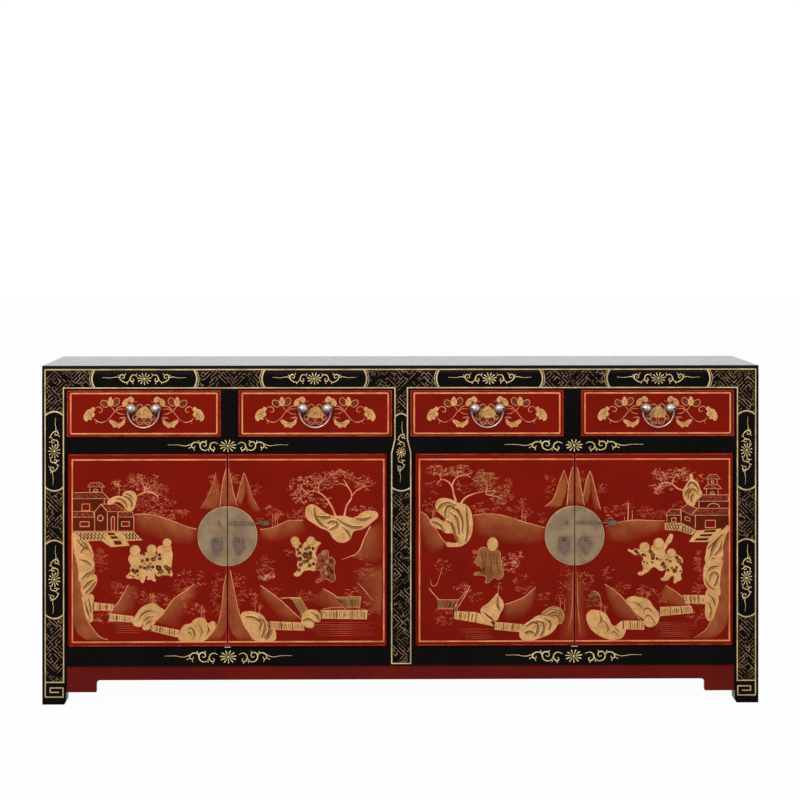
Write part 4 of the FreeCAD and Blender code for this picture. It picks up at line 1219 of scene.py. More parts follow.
def door_1_shore(door):
    """Fences, rocks and slopes along the water."""
    door.fence([(298, 1378), (482, 1396), (478, 1450), (298, 1450)], slats=11)
    door.fence([(434, 1478), (662, 1506), (656, 1558), (432, 1546)], slats=13)
    door.fence([(822, 1582), (1080, 1634), (1070, 1698), (820, 1636)], slats=15)
    door.rock(
        [(660, 1571), (690, 1491), (740, 1426), (800, 1396), (860, 1391), (905, 1426), (945, 1456),
         (915, 1506), (872, 1548), (848, 1581), (828, 1614), (745, 1614), (762, 1578), (720, 1601)],
        [[(700, 1556), (740, 1486), (800, 1454), (868, 1468)], [(745, 1571), (790, 1516), (858, 1506)],
         [(760, 1608), (800, 1556), (845, 1548)]],
    )
    door.rock(
        [(1080, 1721), (1086, 1656), (1126, 1588), (1188, 1572), (1212, 1542), (1265, 1522), (1315, 1534),
         (1340, 1571), (1392, 1554), (1412, 1596), (1370, 1666), (1300, 1732), (1200, 1736), (1110, 1734)],
        [[(1138, 1641), (1185, 1611), (1216, 1656), (1205, 1718)],
         [(1150, 1678), (1170, 1648), (1190, 1678)], [(1238, 1566), (1280, 1618), (1262, 1722)],
         [(1335, 1578), (1346, 1628), (1312, 1698)]],
    )
    door.hill(
        [(618, 1218), (575, 1296), (520, 1386), (478, 1428), (455, 1476)],
        [(720, 1238), (710, 1316), (690, 1396), (672, 1456), (656, 1496)],
        strength=0.8, width=2.0,
    )
    door.hill(
        [(1220, 1211), (1120, 1286), (1025, 1354), (960, 1446), (905, 1506), (860, 1556)],
        [(1262, 1296), (1200, 1386), (1140, 1466), (1100, 1546), (1080, 1601), (1062, 1621)],
        strength=0.85, width=2.0,
    )
    door.hill(
        [(1508, 1124), (1490, 1206), (1478, 1326), (1462, 1456), (1430, 1576), (1380, 1656), (1330, 1718)],
        [(1514, 1166), (1514, 1466), (1512, 1566), (1492, 1666), (1440, 1728)],
        strength=0.85, kept=0.7,
    )
    door.leaves(
        [(365, 986, 60, 110, 33), (525, 1266, 70, 80, 27), (800, 1336, 180, 60, 38),
         (1110, 1266, 90, 90, 38), (1190, 1160, 150, 80, 27), (1440, 1310, 66, 200, 50),
         (1200, 1430, 100, 60, 22), (400, 1506, 110, 60, 25), (1000, 1416, 60, 60, 14)],
    )
    door.reeds([(838, 1388), (852, 1390), (822, 1394), (1282, 1522), (1308, 1528)], height=100)
    door.water(left=380, right=800, top=1516, count=9)


def door_2_peaks(door):
    """Two peaks beside the seam."""
    door.hill(
        [(27, 160), (48, 250), (66, 360), (84, 430), (104, 500)],
        [(22, 170), (22, 497)],
        strength=0.9, kept=0.85,
    )
    door.hill(
        [(165, 198), (140, 280), (116, 370), (96, 455)],
        [(180, 330), (170, 400), (150, 460), (130, 500)],
        strength=0.95, width=1.2, kept=0.7,
    )
    door.hill(
        [(168, 198), (205, 290), (235, 400), (276, 480), (314, 546)],
        [(172, 300), (190, 400), (200, 470), (215, 520), (250, 560)],
        strength=0.9, width=1.2, taper="end",
    )
    door.leaves(
        [(85, 250, 40, 70, 12), (255, 350, 50, 60, 13), (430, 540, 90, 60, 22), (680, 570, 60, 60, 16),
         (330, 640, 60, 30, 7), (560, 600, 110, 30, 14)],
    )


def door_2_trees(door):
    """Two trees on a large rock, and a hill."""
    door.stem(5.2, (1000, 592), (962, 505), (882, 402), (800, 366), (730, 382))
    door.stem(2.6, (852, 392), (846, 320), (870, 268), (852, 205))
    door.stem(2.1, (860, 285), (905, 262), (940, 250))
    door.stem(5.2, (1080, 594), (1100, 505), (1148, 412), (1112, 325), (1072, 262))
    door.stem(3.2, (1148, 412), (1196, 360), (1242, 338), (1290, 318))
    door.stem(2.2, (1110, 325), (1050, 300), (1010, 310))
    door.stem(2.0, (735, 380), (700, 345), (690, 310))
    door.leaves(
        [(700, 330, 130, 110, 61), (880, 270, 120, 90, 50), (1040, 230, 130, 60, 38),
         (1260, 300, 90, 70, 33), (690, 440, 110, 40, 22), (900, 470, 120, 40, 14),
         (1250, 540, 120, 36, 16)],
        paint=ROSE,
    )
    door.rock(
        [(725, 560), (740, 510), (790, 490), (850, 520), (900, 562), (960, 590), (1080, 596), (1180, 612),
         (1230, 570), (1310, 546), (1388, 580), (1330, 652), (1250, 712), (1162, 738), (1130, 808),
         (1050, 836), (980, 800), (940, 738), (860, 700), (800, 660), (745, 620)],
        [[(800, 505), (808, 580), (860, 660), (925, 700)], [(830, 592), (900, 600), (950, 596)],
         [(920, 660), (960, 640), (1010, 660), (940, 720)],
         [(1010, 610), (1080, 660), (1160, 690), (1240, 690)], [(1180, 615), (1250, 620), (1320, 600)],
         [(1060, 690), (1110, 740), (1130, 790)]],
    )
    door.hill(
        [(312, 716), (390, 706), (450, 690), (505, 664), (560, 640), (640, 634), (704, 632)],
        [(312, 800), (390, 830), (450, 830), (505, 820), (570, 800), (660, 780), (740, 740)],
        strength=1.0,
    )
    door.reeds([(425, 696), (450, 692), (472, 686)], height=130)
    door.wash(
        [(1330, 690), (1290, 770), (1240, 860), (1200, 930), (1130, 965)],
        [(1425, 640), (1425, 975), (1340, 1030)],
        strength=0.75, kept=0.15,
    )
    door.line(ROSE, [(1318, 690), (1262, 800), (1200, 930), (1130, 965), (1058, 992)], 3.6, taper="end")


def door_2_children(door):
    """Three children at play, one of them faded."""
    door.child(
        [(605, 850), (635, 885), (640, 925), (640, 955), (660, 970), (660, 1000), (650, 1040), (660, 1065),
         (645, 1100), (620, 1125), (625, 1135), (650, 1145), (680, 1130), (700, 1105), (725, 1085),
         (710, 1035), (700, 980), (700, 915), (690, 860), (670, 830), (635, 825)],
        head=(630, 820, 40),
        blossoms=[(680, 870, 14), (685, 1035, 14), (670, 930, 12), (655, 900, 12), (675, 985, 16),
                  (665, 1085, 12)],
    )
    door.child(
        [(740, 825), (715, 840), (700, 870), (705, 915), (700, 970), (700, 1030), (705, 1085), (735, 1090),
         (765, 1085), (790, 1095), (815, 1090), (815, 1060), (825, 1015), (825, 970), (815, 935),
         (830, 900), (850, 860), (865, 840), (840, 830), (815, 820), (780, 835)],
        head=(775, 820, 39),
        blossoms=[(725, 950, 22), (760, 965, 23), (770, 930, 14), (715, 1010, 15), (740, 1005, 12),
                  (755, 880, 14), (795, 890, 12), (765, 1045, 14), (800, 1030, 12), (730, 895, 12)],
    )
    door.child(
        [(840, 965), (865, 935), (895, 915), (925, 910), (935, 945), (935, 970), (960, 970), (985, 990),
         (995, 1030), (985, 1060), (990, 1115), (995, 1170), (970, 1195), (935, 1175), (895, 1170),
         (865, 1190), (825, 1200), (830, 1175), (865, 1165), (870, 1125), (855, 1090), (820, 1085),
         (810, 1065), (845, 1050), (835, 1010)],
        head=(895, 935, 26),
        blossoms=[(880, 1000, 10), (925, 1010, 13), (960, 1005, 14), (905, 1060, 13), (940, 1075, 17),
                  (875, 1085, 10), (970, 1105, 15), (915, 1115, 12), (935, 1150, 10)],
        paint=FADED,
    )


def door_2_shore(door):
    """Slopes, fences and rocks along the water."""
    door.leaves([(370, 1066, 80, 110, 33), (570, 926, 40, 30, 6)])
    door.leaves([(370, 1148, 74, 26, 27)], paint=ROSE)
    door.hill(
        [(316, 1226), (400, 1286), (480, 1346), (560, 1418), (620, 1476), (682, 1530)],
        [(316, 1336), (380, 1406), (480, 1526), (540, 1556), (610, 1560)],
        strength=0.75, width=2.0,
    )
    door.hill(
        [(886, 1256), (950, 1291), (1005, 1328), (1050, 1388), (1090, 1446)],
        [(760, 1366), (800, 1406), (860, 1426), (920, 1438), (1000, 1450)],
        strength=0.7, width=2.0,
    )
    door.line(ROSE, [(1200, 1204), (1250, 1256), (1300, 1318), (1342, 1368)], 2.0, taper="both")
    door.fence([(590, 1350), (685, 1345), (745, 1450), (680, 1500)], slats=8, paint=SHADE, panels=1)
    door.line(GOLD, [(500, 1345), (555, 1340), (685, 1340)], 2.6, smooth=False)
    door.fence([(1005, 1335), (1230, 1330), (1220, 1430), (1090, 1435)], slats=14, paint=SHADE, panels=2)
    door.line(ROSE, [(885, 1440), (980, 1430), (1095, 1430)], 1.5, smooth=False)
    door.fence([(395, 1556), (700, 1566), (716, 1638), (400, 1628)], slats=16)
    door.fence([(862, 1454), (1290, 1454), (1285, 1536), (866, 1528)], slats=22)
    door.rock(
        [(140, 1488), (190, 1464), (280, 1474), (340, 1506), (372, 1556), (420, 1596), (455, 1656),
         (446, 1726), (400, 1738), (270, 1730), (205, 1651), (155, 1566)],
        [[(180, 1506), (260, 1516), (310, 1556), (300, 1626)],
         [(300, 1506), (345, 1556), (345, 1626), (325, 1696)], [(372, 1566), (390, 1626), (350, 1706)],
         [(420, 1626), (390, 1666), (370, 1716)]],
    )
    door.rock(
        [(690, 1530), (720, 1468), (790, 1450), (850, 1476), (852, 1556), (806, 1558), (800, 1604),
         (745, 1612), (694, 1572)],
        [[(700, 1546), (750, 1526), (800, 1556)], [(780, 1466), (830, 1506), (846, 1546)]],
    )
    door.hill(
        [(40, 1081), (56, 1166), (78, 1266), (110, 1426), (152, 1556), (210, 1656), (268, 1728)],
        [(22, 1126), (22, 1426), (26, 1566), (60, 1666), (120, 1728)],
        strength=0.85, kept=0.7,
    )
    door.leaves(
        [(120, 1286, 60, 180, 33), (240, 1316, 50, 60, 14), (740, 1316, 80, 60, 22),
         (1160, 1296, 70, 50, 16), (1270, 1076, 90, 110, 22), (1280, 1426, 70, 80, 16),
         (450, 1286, 60, 40, 7)],
    )
    door.wash(
        [(1420, 1046), (1420, 1346), (1410, 1506)],
        [(1180, 1066), (1150, 1196), (1180, 1336), (1300, 1466)],
        strength=0.6,
    )
    door.reeds([(268, 1478), (304, 1488)], height=110)
    door.water(left=700, right=1360, top=1566, count=8)


def door_3_trees(door):
    """Two trees that lean apart."""
    door.stem(5.2, (476, 462), (456, 400), (436, 322), (392, 276), (342, 266), (304, 302))
    door.stem(2.6, (336, 266), (330, 232), (310, 210), (274, 206))
    door.stem(2.0, (330, 232), (338, 205), (334, 190))
    door.stem(3.6, (440, 322), (462, 268), (508, 232), (560, 222), (612, 246))
    door.stem(2.2, (494, 238), (490, 208), (492, 180))
    door.stem(2.1, (580, 228), (600, 206), (628, 200))
    door.stem(5.2, (516, 490), (560, 432), (640, 394), (722, 376))
    door.stem(2.8, (748, 386), (760, 320), (744, 282), (706, 268))
    door.stem(3.2, (748, 396), (800, 412), (850, 420), (906, 452))
    door.leaves(
        [(330, 180, 130, 60, 33), (520, 180, 100, 60, 27), (270, 330, 70, 70, 13), (560, 330, 80, 70, 16),
         (950, 300, 60, 40, 13), (240, 500, 60, 60, 14), (760, 520, 160, 50, 27), (1040, 560, 120, 60, 25),
         (1330, 330, 50, 120, 18), (1250, 620, 60, 40, 8), (1080, 440, 40, 40, 5)],
    )
    door.leaves([(330, 180, 130, 60, 22), (520, 180, 100, 60, 22)], paint=ROSE)
    door.leaves([(730, 270, 110, 100, 83), (880, 400, 110, 80, 44)], paint=OCHRE, width=1.3)
    door.leaves([(740, 280, 110, 100, 33), (890, 410, 110, 80, 22)], paint=ROSE)


def door_3_hills(door):
    """A large rock, slopes and two peaks."""
    door.rock(
        [(290, 500), (310, 452), (360, 434), (430, 446), (500, 480), (560, 495), (600, 530), (622, 610),
         (628, 700), (602, 800), (550, 856), (490, 876), (385, 848), (470, 846), (500, 826), (482, 770),
         (440, 752), (385, 752), (340, 718), (282, 700), (240, 640), (300, 614), (350, 642), (380, 640),
         (370, 612), (330, 575), (304, 545)],
        [[(375, 615), (372, 545), (400, 505), (450, 515), (500, 560), (530, 640), (528, 740)],
         [(385, 640), (420, 650), (445, 700), (470, 790), (500, 830)],
         [(300, 545), (330, 500), (390, 470), (470, 495)], [(560, 500), (570, 600), (575, 720), (560, 830)],
         [(250, 645), (310, 660), (370, 740)], [(420, 560), (470, 600), (490, 690), (500, 760)]],
    )
    door.hill(
        [(632, 590), (740, 578), (830, 580), (950, 604), (1060, 640), (1140, 664), (1288, 706)],
        [(640, 760), (740, 800), (830, 830), (950, 860), (1060, 870), (1160, 866), (1280, 830)],
        strength=1.0,
    )
    door.reeds([(1078, 640)], height=180)
    door.reeds([(1112, 646), (262, 612), (280, 606)], height=70)
    door.hill(
        [(150, 556), (200, 586), (240, 640), (300, 728), (345, 800), (384, 846)],
        [(148, 640), (150, 720), (160, 800), (190, 880), (240, 930), (320, 940)],
        strength=0.85, width=1.8,
    )
    door.hill(
        [(1462, 178), (1412, 310), (1360, 450), (1330, 480), (1288, 512)],
        [(1490, 300), (1480, 390), (1450, 470), (1440, 500), (1400, 520)],
        strength=0.95, width=1.6, kept=0.7,
    )
    door.line(ROSE, [(1462, 178), (1484, 246), (1500, 312)], 1.4)
    door.hill(
        [(1545, 150), (1522, 215), (1506, 310), (1496, 420), (1490, 500)],
        [(1553, 160), (1553, 497)],
        strength=0.95, kept=0.85,
    )


def door_3_figure(door):
    """A figure in a long coat with dark folds."""
    door.child(
        [(695, 895), (740, 885), (775, 910), (815, 920), (855, 910), (880, 935), (880, 975), (890, 1015),
         (895, 1065), (910, 1125), (890, 1165), (860, 1175), (825, 1160), (800, 1180), (770, 1205),
         (745, 1205), (755, 1170), (740, 1145), (695, 1135), (640, 1130), (665, 1110), (700, 1110),
         (710, 1070), (665, 1045), (650, 1005), (675, 975), (675, 925)],
        head=(810, 855, 50, 1.26),
        blossoms=[(700, 1095, 14), (720, 1110, 14), (725, 1085, 12)],
        paint=OCHRE,
    )
    for fold in (
        [(735, 910), (750, 975), (740, 1040)],
        [(780, 940), (800, 1000), (795, 1065), (780, 1130)],
        [(860, 940), (845, 1005), (860, 1080), (875, 1145)],
        [(705, 920), (720, 985), (725, 1050)],
        [(815, 940), (825, 985), (820, 1030)],
    ):
        door.line(BLOT, fold, 2.4, CREASE_LEVEL, 0.1, taper="both")


def door_3_shore(door):
    """Fences, rocks and slopes along the water."""
    door.leaves([(970, 1026, 80, 90, 44), (1060, 946, 30, 30, 5), (660, 976, 30, 80, 8)], paint=ROSE)
    door.fence([(300, 1360), (505, 1360), (455, 1440), (300, 1445)], slats=15, paint=OCHRE, panels=2)
    door.fence([(455, 1410), (490, 1405), (485, 1480), (455, 1475)], slats=2, paint=OCHRE, panels=1)
    door.line(ROSE, [(575, 1275), (505, 1360), (455, 1445), (300, 1445)], 1.4, smooth=False)
    door.line(ROSE, [(228, 1254), (270, 1306), (322, 1362)], 2.0)
    door.line(ROSE, [(602, 1234), (570, 1306), (528, 1372), (500, 1426)], 2.0)
    door.line(ROSE, [(350, 1066), (330, 1136), (270, 1236), (240, 1166)], 1.5, taper="both")
    door.fence([(452, 1466), (660, 1476), (648, 1566), (452, 1534)], slats=7)
    door.shape(GOLD, [(668, 1478), (740, 1506), (826, 1606), (740, 1588), (660, 1570)], smooth=False)
    door.rock(
        [(700, 1468), (780, 1386), (844, 1314), (852, 1304), (858, 1316), (912, 1408), (880, 1486),
         (832, 1556)],
        [[(720, 1466), (780, 1516), (830, 1556)], [(850, 1326), (850, 1406), (870, 1456)]],
    )
    door.fence([(826, 1566), (1082, 1588), (1066, 1658), (820, 1632)], slats=12)
    door.rock(
        [(1062, 1634), (1110, 1586), (1165, 1548), (1230, 1508), (1300, 1516), (1402, 1530), (1384, 1626),
         (1252, 1708), (1080, 1726)],
        [[(1110, 1606), (1200, 1566), (1216, 1636), (1190, 1696)],
         [(1190, 1556), (1260, 1566), (1270, 1626), (1240, 1696)],
         [(1280, 1526), (1330, 1566), (1320, 1636)], [(1100, 1666), (1150, 1646), (1190, 1666)]],
    )
    door.rock(
        [(1262, 1506), (1310, 1446), (1390, 1428), (1450, 1466), (1462, 1526), (1420, 1586), (1402, 1530),
         (1300, 1512)],
        [[(1310, 1506), (1370, 1476), (1430, 1496)], [(1340, 1516), (1400, 1506), (1424, 1556)],
         [(1370, 1456), (1420, 1466), (1444, 1516)]],
        paint=SHADE,
    )
    door.hill(
        [(1206, 1246), (1150, 1296), (1100, 1338), (1010, 1376), (922, 1406)],
        [(1200, 1386), (1150, 1466), (1090, 1526), (1000, 1556), (900, 1556)],
        strength=0.8, width=1.8,
    )
    door.wash(
        [(1546, 1106), (1546, 1506), (1540, 1726)],
        [(1470, 1166), (1480, 1306), (1470, 1506), (1400, 1728)],
        strength=0.5,
    )
    door.line(ROSE, [(1546, 1101), (1542, 1286), (1530, 1506), (1500, 1646)], 1.3, taper="both")
    door.leaves(
        [(540, 1256, 90, 60, 22), (1090, 1216, 90, 90, 27), (1290, 1356, 60, 60, 11),
         (1470, 1166, 60, 160, 22), (380, 1506, 110, 80, 27), (340, 1066, 80, 80, 16),
         (660, 1346, 60, 60, 11)],
    )
    door.reeds([(1430, 1436), (1470, 1466), (860, 1311)], height=110)
    door.water(left=480, right=820, top=1630, count=6)


def door_4_peaks(door):
    """Two peaks beside the seam, and a hill with a few bare trunks."""
    door.hill(
        [(76, 152), (92, 200), (104, 280), (112, 340), (130, 420), (144, 500)],
        [(64, 160), (64, 497)],
        strength=0.95, kept=0.85,
    )
    door.hill(
        [(196, 188), (166, 258), (148, 340), (136, 420)],
        [(205, 330), (196, 390), (180, 440), (165, 490)],
        strength=0.95, width=1.4, kept=0.7,
    )
    door.hill(
        [(198, 188), (216, 240), (236, 320), (262, 420), (292, 540)],
        [(200, 300), (200, 360), (205, 420), (220, 490), (240, 550)],
        strength=0.9, width=1.5,
    )
    door.leaves(
        [(130, 240, 36, 50, 8), (300, 340, 50, 50, 11), (440, 560, 120, 60, 25), (700, 560, 90, 50, 22),
         (380, 640, 60, 30, 8), (830, 580, 60, 40, 11), (1000, 500, 60, 40, 7)],
    )
    door.hill(
        [(340, 690), (450, 660), (560, 640), (640, 636), (720, 640), (880, 645)],
        [(345, 830), (450, 850), (560, 850), (720, 790), (880, 740)],
        strength=1.0,
    )
    door.line(ROSE, [(545, 480), (546, 560), (542, 640)], 2.2, smooth=False)
    door.line(ROSE, [(580, 545), (584, 590), (580, 642)], 1.5, smooth=False)
    door.line(ROSE, [(512, 610), (510, 640)], 1.3, smooth=False)
    door.leaves([(545, 500, 60, 40, 11)])


def door_4_house(door):
    """A tall house with a railing and a flight of steps."""
    door.building(
        walls=[
            [rect(1278, 264, 1358, 310), disc(1316, 288, 13)],
            [rect(1262, 354, 1368, 404), [(1296, 402), (1300, 384), (1315, 376), (1330, 384), (1334, 402)]],
            [rect(1196, 470, 1462, 526)],
            [rect(1162, 600, 1464, 712), rect(1252, 640, 1344, 708)],
            [[(1030, 556), (1152, 612), (1152, 708), (1030, 660)],
             [(1066, 606), (1110, 618), (1110, 650), (1066, 636)]],
            [rect(902, 600, 1020, 656), rect(942, 618, 982, 654)],
        ],
        roofs=[
            [(1260, 262), (1290, 222), (1352, 222), (1386, 262)],
            [(1236, 352), (1270, 312), (1368, 312), (1400, 352)],
            [(1162, 466), (1216, 408), (1462, 408), (1462, 466)],
            [(1126, 594), (1180, 530), (1466, 530), (1466, 594)],
            [(1022, 540), (1086, 492), (1176, 532), (1116, 592)],
            [(886, 594), (926, 540), (1024, 540), (1020, 594)],
        ],
        edges=[
            [(1270, 520), (1285, 496), (1325, 484), (1368, 496), (1386, 522)], [(1262, 352), (1262, 406)],
            [(1368, 352), (1368, 406)], [(1278, 262), (1278, 312)], [(1358, 262), (1358, 312)],
            [(1160, 596), (1160, 712)], [(1192, 468), (1192, 528)], [(1030, 552), (1030, 660)],
            [(900, 596), (900, 658)],
        ],
    )
    door.shape(
        GOLD,
        [(880, 664), (1032, 664), (1172, 732), (1130, 772), (1000, 734), (882, 728)],
        smooth=False,
    )
    door.lattice([(890, 670), (1028, 672)], [(892, 722), (1010, 728)], pitch=26)
    door.lattice([(1040, 680), (1150, 732)], [(1022, 734), (1116, 762)], pitch=26)
    door.shape(WALL, [(1150, 830), (1240, 728), (1352, 722), (1270, 830)], smooth=False)
    door.shape(
        GOLD,
        [(1100, 838), (1172, 734), (1400, 716), (1382, 752), (1282, 838)],
        [(1236, 752), (1250, 732), (1350, 726), (1340, 748)],
        [(1196, 788), (1212, 768), (1320, 764), (1304, 786)],
        [(1152, 826), (1170, 804), (1286, 802), (1266, 826)],
        smooth=False,
    )


def door_4_cliff(door):
    """A tree on a rock, and a cliff down the outer side."""
    door.rock(
        [(1050, 362), (1080, 310), (1108, 270), (1122, 212), (1140, 262), (1180, 292), (1200, 350),
         (1220, 402), (1164, 468), (1140, 512), (1102, 500), (1052, 432)],
        [[(1080, 340), (1120, 290), (1165, 320), (1190, 380)],
         [(1090, 440), (1100, 380), (1140, 350), (1180, 400)], [(1120, 470), (1118, 420), (1145, 400)],
         [(1062, 410), (1080, 370), (1110, 340)]],
    )
    door.stem(4.8, (1048, 366), (1000, 350), (942, 306), (885, 296), (835, 320), (795, 372))
    door.stem(1.7, (856, 302), (846, 276), (800, 262))
    door.stem(2.8, (948, 306), (958, 264), (982, 232), (1030, 236))
    door.leaves(
        [(850, 220, 90, 50, 25), (1010, 190, 110, 40, 25), (810, 350, 70, 50, 16), (930, 250, 80, 40, 13),
         (1060, 240, 50, 40, 10), (1180, 240, 50, 50, 7), (880, 350, 70, 40, 10)],
        paint=ROSE,
    )
    door.rock(
        [(1462, 690), (1420, 722), (1332, 792), (1282, 852), (1254, 960), (1250, 1010), (1270, 1034),
         (1320, 980), (1398, 990), (1412, 880), (1440, 780)],
        [[(1410, 760), (1350, 830), (1310, 900), (1295, 970)], [(1330, 960), (1380, 900), (1400, 830)],
         [(1270, 900), (1320, 850), (1380, 790)]],
    )
    door.rock(
        [(1256, 1036), (1320, 998), (1398, 992), (1392, 1106), (1382, 1226), (1370, 1336), (1340, 1296),
         (1262, 1252), (1235, 1116)],
        [[(1270, 1106), (1310, 1066), (1370, 1056)],
         [(1290, 1196), (1300, 1136), (1350, 1116), (1350, 1196), (1330, 1246)],
         [(1250, 1166), (1270, 1226), (1340, 1276)]],
    )
    door.rock(
        [(1282, 1268), (1340, 1302), (1372, 1344), (1344, 1466), (1304, 1558), (1276, 1554), (1256, 1386)],
        [[(1280, 1316), (1320, 1356), (1340, 1426)], [(1275, 1386), (1300, 1446), (1290, 1536)]],
    )
    door.wash(
        [(1440, 790), (1405, 990), (1396, 1130), (1380, 1300), (1352, 1450), (1306, 1558), (1262, 1634),
         (1152, 1716)],
        [(1472, 730), (1472, 1300), (1470, 1450), (1450, 1600), (1380, 1690), (1262, 1726)],
        strength=0.9, kept=0.6,
    )
    door.line(ROSE, [(1302, 1556), (1262, 1634), (1210, 1678), (1150, 1716)], 1.8, taper="end")


def door_4_children(door):
    """Three children at play."""
    door.child(
        [(650, 905), (610, 900), (580, 915), (545, 905), (545, 915), (580, 935), (610, 955), (650, 945),
         (675, 970), (685, 995), (670, 1030), (680, 1050), (685, 1075), (675, 1105), (640, 1115),
         (635, 1130), (670, 1140), (695, 1125), (725, 1110), (755, 1080), (775, 1065), (805, 1070),
         (795, 1025), (790, 985), (760, 940), (740, 905), (695, 885)],
        head=(695, 885, 46),
        blossoms=[(615, 920, 14), (635, 940, 12), (680, 955, 13), (700, 960, 10), (750, 925, 15),
                  (770, 955, 18), (770, 985, 15), (690, 1020, 9), (720, 1030, 8), (765, 1025, 10)],
    )
    door.child(
        [(870, 860), (890, 835), (915, 785), (935, 765), (955, 775), (950, 805), (935, 840), (915, 855),
         (895, 890), (880, 925), (895, 960), (915, 1000), (900, 1050), (870, 1095), (840, 1100),
         (805, 1075), (785, 1035), (795, 985), (765, 925), (755, 890), (775, 865), (825, 855)],
        head=(825, 850, 49),
        blossoms=[(810, 990, 12), (840, 1000, 9), (865, 1035, 15), (880, 1065, 15), (850, 1050, 10),
                  (900, 1000, 10)],
    )
    door.child(
        [(895, 965), (875, 985), (890, 1025), (895, 1070), (890, 1115), (870, 1160), (845, 1180),
         (870, 1190), (910, 1185), (935, 1155), (955, 1145), (970, 1170), (960, 1200), (970, 1215),
         (995, 1200), (1030, 1180), (1025, 1135), (1040, 1105), (1030, 1065), (1045, 1020), (1035, 985),
         (1000, 960), (975, 950), (935, 945)],
        head=(940, 940, 42),
        blossoms=[(990, 980, 14), (1010, 1010, 18), (1030, 1040, 14), (930, 1015, 13), (910, 1095, 13),
                  (945, 1075, 12), (970, 1100, 18), (990, 1070, 13), (1025, 1105, 10)],
    )


def door_4_shore(door):
    """Fences, rocks and slopes along the water."""
    door.fence([(1042, 1326), (1256, 1326), (1250, 1406), (1060, 1394)], slats=11)
    door.fence([(832, 1434), (1120, 1424), (1140, 1486), (826, 1516)], slats=15)
    door.fence([(500, 1558), (692, 1560), (690, 1638), (500, 1634)], slats=9)
    door.rock(
        [(526, 1378), (570, 1338), (650, 1346), (728, 1366), (772, 1426), (830, 1508), (822, 1556),
         (790, 1598), (712, 1606), (690, 1546), (640, 1506), (560, 1426)],
        [[(560, 1386), (640, 1406), (690, 1466)], [(690, 1506), (700, 1446), (750, 1456), (800, 1516)],
         [(690, 1556), (720, 1506), (770, 1546), (790, 1591)]],
    )
    door.rock(
        [(165, 1506), (200, 1464), (250, 1460), (330, 1486), (372, 1548), (412, 1608), (500, 1566),
         (500, 1698), (432, 1728), (350, 1720), (222, 1648), (180, 1586)],
        [[(280, 1478), (296, 1536), (270, 1606)], [(290, 1556), (330, 1566), (360, 1626), (340, 1686)],
         [(400, 1606), (440, 1636), (470, 1656)], [(380, 1686), (420, 1656), (450, 1696)]],
    )
    door.leaves([(235, 1335, 42, 46, 38)], paint=OCHRE, width=1.5)
    door.leaves([(235, 1335, 40, 42, 22)], paint=INK, width=1.5)
    door.line(ROSE, [(225, 1285), (265, 1300), (290, 1350), (300, 1465)], 2.0, taper="end")
    door.leaves([(220, 1366, 60, 90, 22)], paint=OCHRE)
    door.hill(
        [(332, 1224), (430, 1286), (530, 1386), (600, 1476), (660, 1548)],
        [(345, 1336), (380, 1426), (420, 1506), (490, 1550), (590, 1556)],
        strength=0.8, width=2.0,
    )
    door.hill(
        [(888, 1234), (1000, 1306), (1080, 1386), (1140, 1468)],
        [(800, 1346), (840, 1406), (930, 1422), (1040, 1426)],
        strength=0.8, width=2.0,
    )
    door.wash(
        [(80, 1096), (80, 1506), (90, 1726)],
        [(150, 1126), (160, 1306), (150, 1506), (200, 1728)],
        strength=0.5,
    )
    door.line(ROSE, [(78, 1096), (80, 1286), (92, 1506), (110, 1646)], 1.5, taper="both")
    door.leaves(
        [(150, 1186, 70, 90, 22), (360, 1126, 60, 60, 14), (480, 1266, 90, 60, 22), (700, 1296, 90, 70, 22),
         (1190, 1046, 40, 160, 33), (1190, 1266, 60, 50, 14), (1160, 1506, 90, 100, 27),
         (860, 1346, 60, 50, 11)],
    )
    door.reeds([(680, 1352), (716, 1362), (298, 1472), (334, 1488)], height=70)
    door.water(left=700, right=1180, top=1580, count=8)


PAINTINGS = {
    1: (door_1_house, door_1_trees, door_1_cliff, door_1_children, door_1_shore),
    2: (door_2_peaks, door_2_trees, door_2_children, door_2_shore),
    3: (door_3_trees, door_3_hills, door_3_figure, door_3_shore),
    4: (door_4_peaks, door_4_house, door_4_cliff, door_4_children, door_4_shore),
}
for number, scenes in PAINTINGS.items():
    picture = Picture(number)
    for scene in scenes:
        scene(picture)
    picture.finish()


# Lock plates: a painted highlight along the rim, and small nails

SEAM = 436.125
SEAM_GAP = 1.2
PLATE_CENTRE, PLATE_RADIUS = 422.0, 75.0
# The painted highlight on the rim: its radius, sweep, steps and width
RIM_RADIUS = PLATE_RADIUS - 1.0
RIM_SWEEP, RIM_STEPS = 178, 24
RIM_WIDTH = 1.1
NAIL_ANGLES = (-68, -20, 24, 66)
NAIL_CIRCLE = PLATE_RADIUS - 6.5
NAIL_REACH, NAIL_WIDTH = 1.1, 2.6
NAIL_BOW, NAIL_FLATNESS = 0.2, 0.5


